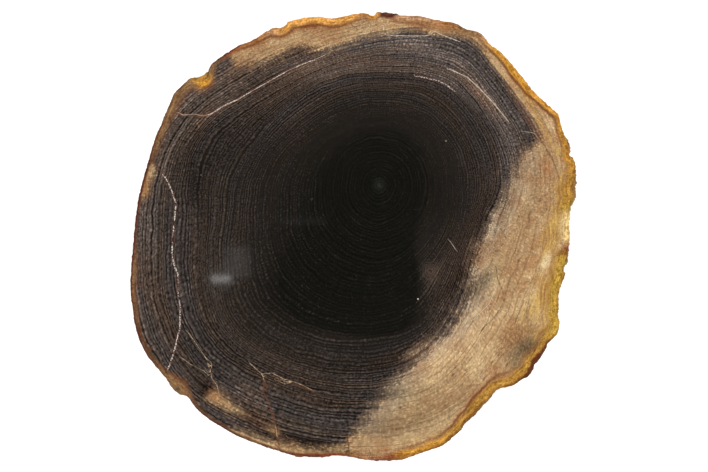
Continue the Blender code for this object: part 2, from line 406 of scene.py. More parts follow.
# %% Rings read from the face, as distances in pixels from the pith
RING_RADII = {
    12.5: {0: 56, 45: 56, 90: 56, 135: 56, 180: 54, 225: 61, 270: 65, 300: 60, 330: 57},
    23.0: {0: 79, 30: 80, 60: 79, 90: 76, 120: 76, 135: 79, 148: 84, 165: 96, 180: 102, 190: 105,
           200: 110, 210: 120, 225: 126, 240: 130, 255: 129, 270: 127, 285: 117, 300: 101, 315: 93,
           330: 88, 345: 83},
    28.0: {0: 99, 30: 98, 60: 98, 90: 92, 120: 95, 135: 97, 148: 103, 165: 114, 180: 124, 190: 128,
           200: 135, 210: 145, 218: 155, 226: 163, 240: 162, 255: 156, 270: 150, 280: 147,
           290: 140, 300: 122, 315: 105, 330: 98, 345: 97},
    33.5: {0: 120, 15: 119, 30: 118, 40: 119, 55: 121, 66: 117, 71: 115, 80: 112, 90: 110,
           105: 113, 120: 116, 136: 119, 149: 124, 160: 130, 165: 134, 174: 142, 180: 148,
           190: 151, 200: 164, 210: 178, 220: 195, 228: 197, 240: 194, 255: 188, 270: 182,
           280: 176, 290: 163, 300: 145, 305: 138, 310: 129, 315: 121, 320: 116, 330: 110,
           345: 109},
    42.0: {0: 151, 15: 150, 25: 148, 31: 146, 38: 146, 45: 148, 55: 152, 65: 147, 80: 139, 90: 135,
           100: 133, 113: 133, 125: 136, 135: 141, 148: 155, 157: 171, 164: 183, 170: 189,
           180: 191, 190: 192, 196: 198, 200: 203, 210: 217, 220: 228, 226: 230, 240: 224,
           255: 221, 270: 216, 280: 212, 290: 203, 300: 186, 310: 171, 320: 160, 330: 151,
           345: 148},
    45.0: {0: 168, 15: 168, 25: 164, 31: 161, 38: 160, 45: 161, 52: 165, 58: 168, 65: 164, 70: 160,
           80: 153, 90: 147, 100: 143, 115: 143, 125: 146, 135: 152, 142: 158, 148: 166, 152: 173,
           157: 181, 162: 188, 170: 197, 180: 204, 190: 210, 200: 222, 210: 237, 222: 246,
           230: 248, 240: 243, 255: 239, 270: 233, 280: 230, 290: 221, 300: 205, 310: 193,
           320: 181, 330: 173, 345: 167},
}
OUTER_RING_WIDTH = {0: 3.9, 45: 3.6, 90: 3.2, 120: 3.6, 150: 4.2, 180: 4.7, 225: 4.9, 270: 4.7,
                    315: 4.5}
print("rings read off:", list(RING_RADII))

# %% The age of each place
SMOOTHING_DEGREES = 3.5
SMOOTHING_REACH = 12


def smooth_round(readings, wanted):
    """Readings at some angles as a smooth curve all the way round."""
    angles, values = (np.array(list(part), float) for part in (readings, readings.values()))
    degrees = np.arange(0.0, 360.0)
    curve = round_table(angles, values, degrees)
    reach = np.arange(-SMOOTHING_REACH, SMOOTHING_REACH + 1)
    weights = np.exp(-0.5 * (reach / SMOOTHING_DEGREES) ** 2)
    padded = np.concatenate([curve[-SMOOTHING_REACH:], curve, curve[:SMOOTHING_REACH]])
    curve = np.convolve(padded, weights / weights.sum(), "valid")
    return np.interp(wanted, np.append(degrees, 360.0), np.append(curve, curve[0]))


def level_between(contours, places):
    """A value given along closed curves round the pith, blended in between; 0 at the pith."""
    angles = angles_from(pith, places)
    radii = np.linalg.norm(places - pith, axis=1) / PIXEL
    inner_value, inner_radius = 0.0, np.zeros(len(places))
    values = np.zeros(len(places))
    for value, readings in contours.items():
        radius = smooth_round(readings, angles)
        share = np.clip((radii - inner_radius) / (radius - inner_radius), 0, 1)
        blended = inner_value + (value - inner_value) * share
        values = np.where(radii >= inner_radius, blended, values)
        inner_value, inner_radius = value, radius
    return values, radii - inner_radius


def ring_age(places):
    """How many rings lie between the pith and each place."""
    age, beyond = level_between(RING_RADII, places)
    width = smooth_round(OUTER_RING_WIDTH, angles_from(pith, places))
    return age + np.maximum(beyond, 0.0) / width


print("rings at the left edge:", round(float(ring_age(on_face((132, 250)))[0]), 1))

# %% [markdown]
# ## Zones of colour
# Minerals stained the wood in zones that follow the rings only roughly. Four facts about each
# point describe them: how much of the heart's black is gone, how deep it is inside a tan zone, and
# how ragged and how soft the tan zone's border is there. The heart is read like the rings: nearly
# 0 on the curve up to which it is fully black, 1 where the wood has its usual dark brown, 2.2
# where it is a good deal paler than that. The tan zones are closed outlines.

# %% The black heart, in pixels from the pith
HEART_GONE = {
    0.04: {0: 42, 45: 42, 90: 42, 135: 45, 165: 48, 180: 56, 195: 68, 210: 84, 218: 118, 225: 143,
           240: 156, 255: 152, 270: 149, 280: 146, 287: 128, 293: 90, 300: 60, 315: 50, 330: 42},
    0.37: {0: 90, 15: 79, 30: 78, 60: 82, 75: 76, 90: 82, 120: 86, 150: 90, 165: 103, 180: 118,
           195: 121, 210: 146, 225: 178, 240: 166, 255: 157, 270: 154, 280: 152, 287: 148, 300: 79,
           315: 74, 330: 74, 345: 88},
    1.0: {0: 112, 15: 122, 30: 124, 45: 118, 60: 112, 75: 111, 105: 111, 120: 112, 135: 118,
          150: 136, 165: 200, 180: 206, 195: 202, 210: 198, 225: 230, 240: 212, 255: 205, 270: 190,
          285: 180, 300: 122, 315: 116, 330: 116, 345: 112},
    2.2: {0: 126, 15: 135, 30: 135, 45: 130, 60: 128, 75: 126, 90: 123, 105: 120, 120: 122,
          135: 178, 150: 204, 165: 208, 180: 222, 195: 262, 210: 330, 225: 380, 255: 400, 270: 400,
          285: 340, 300: 300, 345: 260},
}
print("the heart is black within", min(HEART_GONE[0.04].values()) * PIXEL / MM, "mm at least")

# %% The tan zones
# The inner border of the tan zone, from the top left round to the bottom: x, y, raggedness in mm
TAN_BORDER = [
    (226, 44, 0.6), (229, 57, 0.9), (235, 69, 1.4), (248, 66, 2.0), (262, 64, 2.2), (282, 58, 2.0),
    (293, 50, 1.6), (304, 48, 1.6), (314, 51, 1.8), (325, 52, 1.8), (336, 48, 1.8), (352, 42, 2.0),
    (368, 36, 2.2), (390, 33, 1.8), (400, 30, 1.4), (412, 30, 1.2), (428, 33, 1.2), (440, 36, 1.2),
    (455, 36, 1.0), (470, 40, 0.8), (480, 48, 0.6), (490, 62, 0.5), (500, 75, 0.4), (510, 88, 0.4),
    (520, 103, 0.4), (531, 118, 0.6), (537, 130, 1.0), (537, 141, 1.8), (526, 152, 2.4),
    (518, 165, 2.6), (512, 178, 2.6), (506, 189, 2.6), (503, 202, 2.6), (494, 215, 2.6),
    (487, 231, 2.6), (477, 246, 2.4), (471, 262, 2.4), (468, 279, 3.0), (467, 292, 3.2),
    (462, 307, 3.0), (455, 321, 2.6), (446, 332, 2.6), (425, 342, 2.6), (411, 354, 2.6),
    (403, 369, 2.6), (388, 383, 2.8), (380, 397, 2.8), (370, 412, 2.8), (356, 426, 2.4),
    (347, 440, 1.6), (345, 470, 1.0), (640, 490, 0.5), (640, -20, 0.5), (200, -20, 0.5),
]
# Name, raggedness and softness of the border in mm, outline
TAN_PATCHES = [
    ("foot", 1.2, 1.7, [(228, 427), (246, 431), (262, 436), (272, 440), (281, 440), (300, 445),
                        (322, 448), (348, 443), (352, 475), (280, 475), (222, 442)]),
    ("blob", 1.3, 2.4, [(206, 398), (209, 392), (215, 387), (221, 391), (227, 397), (235, 403),
                        (242, 409), (246, 415), (238, 413), (229, 410), (219, 405), (211, 403)]),
    ("blob's end", 1.2, 2.2, [(266, 429), (272, 426), (277, 428), (280, 438), (272, 435)]),
    ("left wedge", 1.0, 1.8, [(148, 155), (155, 165), (156, 174), (151, 185), (146, 196),
                              (137, 204), (128, 200), (134, 170)]),
]
print("tan border:", len(TAN_BORDER), "stops;", len(TAN_PATCHES), "patches")

# %% How deep a place is inside them
BORDER_SOFTNESS = 0.4
SOFTNESS_PER_RAGGEDNESS = 1.25


def nearest_on(places, path, closed):
    """Distance to a path, which side of it (1 left, -1 right), and how far along it."""
    distance = np.full(len(places), np.inf)
    side = np.ones(len(places))
    along = np.zeros(len(places))
    ends = np.roll(path, -1, axis=0) if closed else path[1:]
    for number, (start, end) in enumerate(zip(path, ends)):
        run = end - start
        from_start = places - start
        share = np.clip(from_start @ run / (run @ run), 0, 1)
        away = np.linalg.norm(from_start - share[:, None] * run, axis=1)
        turn = run[0] * from_start[:, 1] - run[1] * from_start[:, 0]
        nearer = away < distance
        distance[nearer] = away[nearer]
        side[nearer] = np.where(turn[nearer] < 0, -1, 1)
        along[nearer] = number + share[nearer]
    return distance, side, along


def is_inside(places, path):
    odd = np.zeros(len(places), bool)
    for start, end in zip(path, np.roll(path, -1, axis=0)):
        if start[1] == end[1]:
            continue
        level = (start[1] > places[:, 1]) != (end[1] > places[:, 1])
        crossing = start[0] + (places[:, 1] - start[1]) * (end[0] - start[0]) / (end[1] - start[1])
        odd ^= level & (places[:, 0] < crossing)
    return odd


def depth_inside(places, path):
    """Distance to a closed outline, in mm, positive inside it; and the place along it."""
    distance, _, along = nearest_on(places, path, closed=True)
    return np.where(is_inside(places, path), distance, -distance) / MM, along


def tan_zone(places):
    """How deep each place is in a tan zone, and how ragged and how soft its border is, in mm."""
    border = on_face([stop[:2] for stop in TAN_BORDER])
    depth, along = depth_inside(places, border)
    rag = np.array([stop[2] for stop in TAN_BORDER])
    ragged = np.interp(along, np.arange(len(rag) + 1), np.append(rag, rag[0]))
    soft = BORDER_SOFTNESS + SOFTNESS_PER_RAGGEDNESS * ragged
    for _, patch_ragged, patch_soft, path in TAN_PATCHES:
        patch_depth, _ = depth_inside(places, on_face(path))
        nearer = patch_depth / patch_soft > depth / soft
        ragged = np.where(nearer, patch_ragged, ragged)
        soft = np.where(nearer, patch_soft, soft)
        depth = np.where(nearer, patch_depth, depth)
    return depth, ragged, soft


wedge_depth = tan_zone(on_face((150, 170)))[0]
print("the left wedge is", round(float(wedge_depth[0]), 1), "mm deep in its middle")

# %% [markdown]
# ## Stains
# Inside the zones some areas are paler, browner or more slate-grey than their neighbours. Noise
# alone would put them in other places than this stone has them, so each is a soft oval that lies
# along the rings: its middle, its reach round the rings and across them, and how strong it is. A
# negative paleness darkens.

# %% Stains: x, y, reach round, reach across, strength
STAINS = {
    "pale": [
        (315, 446, 60, 7, -0.9), (335, 392, 60, 26, -0.14), (225, 416, 24, 5, 0.3),
        (249, 393, 20, 8, 0.75), (261, 423, 18, 5, 0.5), (335, 408, 30, 9, -0.3),
        (378, 370, 22, 10, -0.4), (206, 389, 8, 7, -0.7), (430, 50, 40, 7, 0.45),
        (425, 402, 60, 24, -0.1), (532, 185, 30, 20, -0.15), (246, 413, 12, 6, -0.6),
        (272, 431, 8, 6, -0.6), (144, 180, 24, 9, -0.45), (214, 395, 12, 6, -0.25),
        (231, 419, 12, 5, 0.3), (193, 182, 26, 8, -0.4), (155, 250, 70, 14, 0.25),
        (190, 225, 24, 12, 0.2), (402, 37, 30, 5, 0.4), (400, 52, 60, 7, 0.15),
        (482, 92, 32, 8, 0.35), (455, 285, 26, 6, -0.3), (460, 236, 26, 8, -0.3),
        (262, 77, 30, 7, -0.3), (480, 284, 22, 8, -0.7), (472, 262, 26, 6, -0.45),
        (524, 350, 18, 9, -0.7), (516, 334, 11, 9, -0.4), (250, 52, 30, 8, -0.15),
        (455, 345, 60, 14, 0.3), (550, 264, 12, 5, 0.9), (505, 150, 26, 10, 0.15),
        (300, 30, 40, 6, -0.1),
    ],
    "brown": [
        (285, 84, 60, 12, 0.5), (205, 113, 22, 6, 0.6), (150, 290, 70, 12, 0.5),
        (300, 386, 60, 14, 0.25), (395, 66, 60, 10, 0.35), (470, 225, 60, 9, 0.4),
        (525, 270, 50, 10, 0.6), (546, 190, 30, 8, 0.5), (505, 212, 24, 8, 0.4),
        (490, 256, 20, 8, 0.5), (515, 335, 26, 12, 0.7), (420, 352, 18, 8, 0.6),
        (546, 160, 20, 8, 0.5), (470, 262, 30, 7, 0.6), (330, 30, 40, 9, 0.25),
        (250, 55, 34, 10, 0.8), (214, 396, 14, 8, 1.2), (231, 419, 12, 5, 0.6),
        (259, 421, 18, 6, 1.6), (250, 395, 20, 8, 0.7), (420, 25, 30, 5, 0.6),
        (500, 362, 30, 6, 0.6), (514, 334, 12, 9, 1.6), (475, 383, 30, 4, 0.5),
        (300, 40, 60, 12, 0.4), (400, 362, 26, 8, 0.5), (480, 95, 26, 6, 0.8),
        (530, 105, 50, 5, 0.7), (320, 446, 50, 7, 0.8), (535, 180, 40, 16, 0.5),
        (540, 235, 50, 12, 0.4),
    ],
    "slate": [
        (215, 92, 32, 12, 0.5), (350, 46, 18, 6, 0.6), (228, 59, 8, 7, 0.6), (460, 43, 30, 8, 0.4),
        (232, 422, 34, 6, 0.5), (505, 135, 30, 12, 0.3), (372, 50, 34, 7, 0.3),
        (300, 436, 36, 7, 0.5), (165, 240, 70, 14, 0.3), (481, 284, 24, 9, 0.7),
        (500, 226, 20, 7, 0.3), (398, 376, 18, 7, 0.5), (394, 396, 20, 8, 0.5),
        (525, 349, 18, 9, 1.1), (388, 392, 26, 6, 0.7), (404, 362, 20, 5, 0.6),
        (538, 344, 20, 4, 0.5), (440, 352, 18, 6, 0.2), (375, 428, 50, 10, 0.55),
        (420, 412, 60, 22, 0.4), (470, 210, 20, 12, 0.3), (505, 185, 30, 12, 0.35),
    ],
    "gold": [
        (562, 186, 16, 8, 0.9), (556, 230, 40, 10, 0.9), (549, 292, 30, 12, 0.9),
        (548, 330, 20, 10, 0.8), (560, 150, 14, 6, 0.5), (540, 250, 50, 14, 0.3),
        (505, 395, 40, 8, 0.5), (258, 38, 20, 6, 0.3), (430, 436, 40, 7, 0.35),
        (520, 320, 40, 14, 0.25), (532, 106, 50, 4, 0.6),
    ],
    "cream": [
        (565, 222, 10, 5, 0.95), (566, 237, 9, 4, 0.9), (546, 262, 13, 6, 0.8),
        (263, 33, 5, 2, 0.7), (283, 23, 6, 2, 0.5), (537, 232, 10, 3, 0.3), (188, 392, 6, 3, 0.3),
        (487, 300, 26, 3, 0.35), (470, 318, 20, 3, 0.3),
    ],
    "rust": [
        (563, 192, 8, 7, 0.3), (240, 45, 12, 3, 0.7), (305, 24, 40, 3, 0.5),
        (560, 138, 10, 5, 0.6), (545, 168, 14, 7, 0.4), (519, 108, 60, 3, 0.3),
        (492, 371, 24, 3, 0.35), (466, 394, 22, 3, 0.3), (200, 80, 12, 3, 0.35),
        (570, 202, 8, 3, 0.3), (515, 333, 10, 8, 0.3), (384, 450, 16, 3, 0.6),
        (349, 439, 4, 5, 0.45), (145, 178, 24, 8, 0.55), (275, 431, 5, 4, 0.4),
        (212, 394, 8, 4, 0.45),
    ],
}

# %% How strongly a place is stained
def stain(places, name):
    total = np.zeros(len(places))
    for x, y, round_reach, across_reach, strength in STAINS[name]:
        middle = on_face((x, y))[0]
        across = (middle - pith) / np.linalg.norm(middle - pith)
        offset = (places - middle) / PIXEL
        over = offset @ across / across_reach
        along = offset @ np.array([-across[1], across[0]]) / round_reach
        total += strength * np.exp(-(over**2) - along**2)
    return total


print("stains:", {name: len(ovals) for name, ovals in STAINS.items()})

# %% [markdown]
# ## Veins and cracks
# Quartz filled the cracks of the wood. Some veins are solid cream lines, some are strings of white
# dots, some are tan or rusty, and a few cracks stayed dark. Each is a path with its width. Stored
# on the vertices is the signed distance to the nearest path, which is smooth across the path
# itself, so the shader can draw a line much finer than the net. A second, unsigned distance
# switches the line off where the sign flips half-way between two paths.

# %% Paths of the veins: half width in mm, then the places
VEINS = {
    "vein_cream": [
        (0.18, [(179, 113), (183, 115), (195, 114), (203, 116), (211, 114), (222, 107), (237, 100),
                (252, 91), (268, 82), (287, 71), (303, 64), (314, 60), (325, 55)]),
        (0.44, [(449, 69), (458, 73), (467, 77), (478, 87), (489, 98), (500, 111), (508, 121)]),
        (0.30, [(388, 35), (408, 36), (424, 36), (430, 35), (434, 31), (440, 34), (458, 41)]),
        (0.12, [(522, 131), (534, 133), (538, 138)]),
        (0.16, [(450, 241), (456, 250)]),
        (0.22, [(497, 286), (489, 304), (474, 319)]),
    ],
    "vein_dotted": [
        (0.50, [(164, 176), (168, 182), (172, 192), (176, 203), (175, 216), (173, 234), (172, 254),
                (174, 265), (178, 274), (178, 291), (180, 307), (180, 329), (178, 335), (175, 348),
                (171, 361), (168, 369)]),
        (0.42, [(416, 76), (426, 78), (439, 81), (447, 85), (454, 91)]),
        (0.40, [(211, 114), (222, 107), (229, 103), (237, 100), (252, 91), (268, 82), (287, 71),
                (303, 64), (314, 60)]),
    ],
    "vein_tan": [
        (0.28, [(187, 331), (193, 339), (199, 348), (206, 358), (208, 364), (211, 373), (212, 379),
                (217, 385), (218, 390)]),
        (0.18, [(206, 358), (211, 362), (212, 367), (209, 372)]),
        (0.17, [(182, 358), (190, 364), (198, 368), (204, 371), (211, 378)]),
        (0.28, [(250, 363), (256, 369), (262, 374), (264, 380)]), (0.24, [(276, 428), (277, 436)]),
        (0.26, [(262, 374), (272, 373), (284, 379), (300, 384), (312, 390)]),
        (0.14, [(276, 380), (285, 384), (292, 382)]),
    ],
    "vein_rust": [
        (1.1, [(174, 112), (183, 115), (195, 115), (204, 116), (213, 113)]),
        (0.7, [(213, 113), (226, 105), (240, 98)]),
        (0.85, [(264, 380), (263, 392), (269, 403), (274, 421), (277, 436), (279, 444),
                (280, 449)]),
        (0.4, [(272, 376), (284, 381), (298, 385), (312, 391)]),
        (0.4, [(209, 366), (213, 380), (218, 388)]), (0.6, [(150, 158), (157, 166), (164, 176)]),
        (1.0, [(145, 354), (152, 348)]), (0.7, [(130, 285), (140, 284)]),
        (0.5, [(347, 440), (349, 448), (346, 455)]), (0.4, [(265, 382), (268, 388)]),
        (0.8, [(527, 117), (537, 133), (544, 145), (553, 160), (559, 178)]),
    ],
    "vein_dark": [
        (0.4, [(149, 157), (156, 164), (164, 175)]),
        (0.34, [(504, 300), (500, 309), (493, 319), (485, 326), (480, 333)]),
        (0.22, [(524, 301), (518, 315), (515, 323)]),
        (0.16, [(335, 43), (351, 30), (366, 21)]),
        (0.25, [(183, 305), (200, 320), (215, 332)]),
        (0.6, [(486, 198), (482, 215), (479, 232), (471, 258), (467, 278), (459, 298), (451, 314),
               (443, 328)]),
        (0.40, [(200, 135), (192, 150), (189, 175), (188, 200), (185, 245)]),
        (0.34, [(222, 196), (219, 225), (218, 262)]),
        (0.40, [(347, 436), (349, 446), (346, 454)]),
        (0.30, [(369, 449), (371, 455), (368, 459)]),
        (0.40, [(166, 372), (164, 366), (168, 376)]),
        (0.5, [(277, 446), (281, 451)]),
        (0.45, [(205, 401), (213, 405), (221, 409)]),
        (0.30, [(496, 268), (498, 280), (503, 292)]),
        (0.26, [(505, 371), (509, 358)]), (0.30, [(522, 368), (528, 362), (538, 345)]),
        (0.5, [(196, 400), (199, 401)]), (0.5, [(170, 118), (171, 123)]),
        (0.5, [(217, 74), (219, 78)]), (0.6, [(160, 139), (161, 145)]),
        (0.55, [(146, 353), (151, 349)]), (0.4, [(131, 285), (138, 283)]),
        (0.3, [(137, 212), (141, 216)]),
    ],
}

# %% Distances to the veins
def vein_fields(places, veins):
    """For each place: signed distance, distance and half width of the nearest vein, in mm."""
    nearest = np.full(len(places), np.inf)
    signed = np.zeros(len(places))
    half_width = np.ones(len(places))
    for width, path in veins:
        distance, side, _ = nearest_on(places, on_face(path), closed=False)
        nearer = distance < nearest
        nearest[nearer] = distance[nearer]
        signed[nearer] = (side * distance)[nearer]
        half_width[nearer] = width
    return signed / MM, nearest / MM, half_width


print("veins:", {name: len(paths) for name, paths in VEINS.items()})

# %% [markdown]
# ## The rough bark
# The skin still has only the solid's own lumps. Old bark is fluted up and down, pitted, and on the
# right-hand side set with little glassy beads of quartz. Displacement in a shader wouldn't reach
# the exported mesh, and sculpting by hand couldn't be changed later. A Geometry Nodes tree makes
# the relief by a rule: every vertex of the wall is moved straight inwards by a mix of noises. It
# only cuts inwards, so the stone stays inside its measured size. First comes a small helper class:
# with it, sums and products between node outputs are written like ordinary maths.

# %% Fields: the outputs of nodes, written like numbers
class Field:
    """One output of a node. Sums and products of fields make Math nodes in the same tree."""

    def __init__(self, tree, socket):
        self.tree = tree
        self.socket = socket

    def __add__(self, other):
        return maths("ADD", self, other)

    def __sub__(self, other):
        return maths("SUBTRACT", self, other)

    def __rsub__(self, other):
        return maths("SUBTRACT", other, self)

    def __mul__(self, other):
        return maths("MULTIPLY", self, other)

    def __truediv__(self, other):
        return maths("DIVIDE", self, other)

    def __rtruediv__(self, other):
        return maths("DIVIDE", other, self)

    __radd__ = __add__
    __rmul__ = __mul__


# %% Functions that add nodes
def node(tree, kind, inputs, output=0, **settings):
    """Adds a node, fills its inputs with fields or plain values, and returns one output."""
    made = tree.nodes.new(kind)
    for name, setting in settings.items():
        setattr(made, name, setting)
    for key, value in inputs.items():
        if isinstance(value, Field):
            tree.links.new(value.socket, made.inputs[key])
        else:
            made.inputs[key].default_value = value
    return Field(tree, made.outputs[output])


def tree_of(values):
    return next(value.tree for value in values if isinstance(value, Field))


def maths(operation, *values):
    return node(tree_of(values), "ShaderNodeMath", dict(enumerate(values)), operation=operation)


def vector_maths(operation, *values, output=0):
    inputs = dict(enumerate(values))
    return node(values[0].tree, "ShaderNodeVectorMath", inputs, output, operation=operation)


def scaled(vector, x, y, z):
    return vector_maths("MULTIPLY", vector, (x, y, z))


def times(vector, factor):
    """A vector or a colour times one number."""
    inputs = {0: vector, "Scale": factor}
    return node(vector.tree, "ShaderNodeVectorMath", inputs, 0, operation="SCALE")


def joined(x, y, z):
    return node(tree_of((x, y, z)), "ShaderNodeCombineXYZ", {0: x, 1: y, 2: z})


def split(vector):
    made = vector.tree.nodes.new("ShaderNodeSeparateXYZ")
    vector.tree.links.new(vector.socket, made.inputs[0])
    return [Field(vector.tree, output) for output in made.outputs]


# %% Noise, soft steps and mixed colours
MIX_COLOUR_INPUTS = (6, 7)
MIX_COLOUR_OUTPUT = 2


def noise_at(place, frequency=1.0, detail=2.0, roughness=0.5):
    """Smooth noise between 0 and 1, with a middle value of a half."""
    inputs = {"Vector": place, "Scale": frequency, "Detail": detail, "Roughness": roughness}
    return node(place.tree, "ShaderNodeTexNoise", inputs, 0)


def between(value, low, high):
    """A soft step: 0 at low, 1 at high."""
    inputs = {"Value": value, "From Min": low, "From Max": high}
    return node(value.tree, "ShaderNodeMapRange", inputs, 0, interpolation_type="SMOOTHSTEP")


def fading(value, low, high):
    """A soft step the other way: 1 at low, 0 at high."""
    return 1.0 - between(value, low, high)


def from_whole(value):
    """0 at every whole number, 1 half-way between two: the way across a ring."""
    return maths("PINGPONG", value, 0.5) * 2.0


def mixed(share, first, second, blend="MIX"):
    """The first colour, with a share of the second mixed or multiplied in."""
    a, b = MIX_COLOUR_INPUTS
    inputs = {0: share, a: first, b: second}
    kinds = {"data_type": "RGBA", "blend_type": blend}
    return node(tree_of(inputs.values()), "ShaderNodeMix", inputs, MIX_COLOUR_OUTPUT, **kinds)


# %% The tree that carves the bark
RELIEF_INPUTS = {
    "Flute depth": 0.75 * MM,
    "Flute spacing": 2.6 * MM,
    "Flute stretch": 3.2,
    "Crust depth": 0.45 * MM,
    "Crust spacing": 0.9 * MM,
    "Pit depth": 1.1 * MM,
    "Pit spacing": 3.4 * MM,
    "Bead depth": 0.75 * MM,
    "Bead spacing": 1.9 * MM,
}
GLASSY_CALM = 0.6
FINISH_NAMES = ("Polished", "Bark", "Sawn")


def relief_tree():
    tree = bpy.data.node_groups.new("bark relief", "GeometryNodeTree")
    tree.interface.new_socket("Geometry", in_out="INPUT", socket_type="NodeSocketGeometry")
    for name in RELIEF_INPUTS:
        tree.interface.new_socket(name, in_out="INPUT", socket_type="NodeSocketFloat")
    for name in FINISH_NAMES:
        tree.interface.new_socket(name, in_out="INPUT", socket_type="NodeSocketMaterial")
    tree.interface.new_socket("Geometry", in_out="OUTPUT", socket_type="NodeSocketGeometry")
    entry = tree.nodes.new("NodeGroupInput")
    given = {socket.name: Field(tree, socket) for socket in entry.outputs if socket.name}

    def stored(name, kind):
        return node(tree, "GeometryNodeInputNamedAttribute", {"Name": name}, 0, data_type=kind)

    place = node(tree, "GeometryNodeInputPosition", {})
    upright = vector_maths("DIVIDE", place, joined(1.0, 1.0, given["Flute stretch"]))
    flutes = noise_at(upright, 1.0 / given["Flute spacing"], 2.0)
    flute = given["Flute depth"] * between(flutes, 0.25, 0.75)
    crust = given["Crust depth"] * noise_at(place, 1.0 / given["Crust spacing"], 3.0)
    pits = noise_at(place, 1.0 / given["Pit spacing"], 1.0)
    pit = given["Pit depth"] * between(pits, 0.56, 0.72)
    bead_inputs = {"Vector": place, "Scale": 1.0 / given["Bead spacing"], "Smoothness": 0.3}
    beads = node(tree, "ShaderNodeTexVoronoi", bead_inputs, 0, feature="SMOOTH_F1")
    bead = given["Bead depth"] * between(beads, 0.1, 0.75)
    glassy = stored("glassy", "FLOAT")
    depth = (flute + crust + pit) * (1.0 - glassy * GLASSY_CALM) + bead * glassy
    inward = times(stored("outward", "FLOAT_VECTOR"), depth * -1.0)
    inward = times(inward, stored("relief", "FLOAT"))
    inputs = {"Geometry": given["Geometry"], "Offset": inward}
    shape = node(tree, "GeometryNodeSetPosition", inputs)
    shape = node(tree, "GeometryNodeRealizeInstances", {"Geometry": shape})
    part = stored("part", "INT")
    for number, name in enumerate(FINISH_NAMES):
        same = {"data_type": "INT", "operation": "EQUAL"}
        chosen = node(tree, "FunctionNodeCompare", {2: part, 3: number}, 0, **same)
        inputs = {"Geometry": shape, "Selection": chosen, "Material": given[name]}
        shape = node(tree, "GeometryNodeSetMaterial", inputs)
    leave = tree.nodes.new("NodeGroupOutput")
    tree.links.new(shape.socket, leave.inputs[0])
    return tree


bark_relief = relief_tree()
print("bark relief:", len(bark_relief.nodes), "nodes;", len(RELIEF_INPUTS), "named sizes")

# %% [markdown]
# ## Building the skin
# The base mesh gets four helper attributes for the tree: which part a face belongs to, the way out
# of the stone, how deep the relief may cut (little at the polished edge, least on its smooth west
# side, and nothing on the flat faces) and where the rim is glassy. The wall starts a touch further
# out, because the relief cuts it back.

# %% The base mesh and what steers its relief
RELIEF_ALLOWANCE = 0.45 * MM
RELIEF_AT_FACE_EDGE = 0.3
NORTH_EDGE_SHARE = 0.65
EAST_EDGE_GAIN = 0.5
LEAST_EDGE_SHARE = 0.25
RELIEF_AT_BACK_EDGE = 0.5
RELIEF_FADE_HEIGHT = 1.6 * MM
GLASSY_ANGLES = (-32.0, 52.0)
GLASSY_FADE = 12.0


def add_attribute(mesh, name, values, kind="FLOAT", domain="POINT"):
    attribute = mesh.attributes.new(name, kind, domain)
    field = "vector" if kind == "FLOAT_VECTOR" else "value"
    attribute.data.foreach_set(field, np.ascontiguousarray(values).ravel())


def relief_strength(height, facing_east):
    """How much of the relief shows: less at the face's edge, least of all in the west."""
    edge_share = np.clip(NORTH_EDGE_SHARE + facing_east * EAST_EDGE_GAIN, LEAST_EDGE_SHARE, 1)
    at_face_edge = RELIEF_AT_FACE_EDGE * edge_share
    below_face = np.clip((thickness - height) / RELIEF_FADE_HEIGHT, 0, 1)
    above_back = np.clip(height / RELIEF_FADE_HEIGHT, 0, 1)
    near_face = at_face_edge + (1 - at_face_edge) * below_face
    return np.minimum(near_face, RELIEF_AT_BACK_EDGE + (1 - RELIEF_AT_BACK_EDGE) * above_back)


def glassy_strength(places):
    angles = (angles_from((0.0, 0.0), places) + 180) % 360 - 180
    inside = np.minimum(angles - GLASSY_ANGLES[0], GLASSY_ANGLES[1] - angles)
    return np.clip(inside / GLASSY_FADE, 0, 1)


def base_mesh():
    placed = points.copy()
    out_all = np.tile(outward, (ROWS, 1))
    relief = relief_strength(np.repeat(heights, COLUMNS), out_all[:, 0])
    push = relief * RELIEF_ALLOWANCE
    placed[:wall_count, :2] += out_all * push[:, None]
    mesh = bpy.data.meshes.new("petrified_wood_base")
    mesh.from_pydata(placed.tolist(), [], faces)
    rest = np.zeros(len(points) - wall_count)
    ways_out = np.vstack([at_height(out_all, 0.0), np.zeros((len(rest), 3))])
    add_attribute(mesh, "outward", ways_out, "FLOAT_VECTOR")
    add_attribute(mesh, "relief", np.concatenate([relief, rest]))
    add_attribute(mesh, "glassy", np.concatenate([glassy_strength(placed[:wall_count, :2]), rest]))
    add_attribute(mesh, "part", face_part.astype(np.int32), "INT", "FACE")
    return mesh


material_names = ("polished face", "natural bark", "sawn back")
finishes = [bpy.data.materials.new(name) for name in material_names]
base = bpy.data.objects.new("petrified_wood_base", base_mesh())
base.data.materials.append(finishes[0])
bpy.context.scene.collection.objects.link(base)
print("base mesh:", len(base.data.vertices), "points")

# %% Carve it, and keep the result as a plain mesh
def carved(base):
    carving = base.modifiers.new("bark relief", "NODES")
    carving.node_group = bark_relief
    materials = dict(zip(FINISH_NAMES, finishes))
    for item in bark_relief.interface.items_tree:
        if item.in_out == "INPUT" and item.name in RELIEF_INPUTS:
            carving[item.identifier] = RELIEF_INPUTS[item.name]
        elif item.in_out == "INPUT" and item.name in materials:
            carving[item.identifier] = materials[item.name]
    bpy.context.view_layer.update()
    evaluated = base.evaluated_get(bpy.context.evaluated_depsgraph_get())
    mesh = bpy.data.meshes.new_from_object(evaluated)
    base.modifiers.remove(carving)
    return mesh


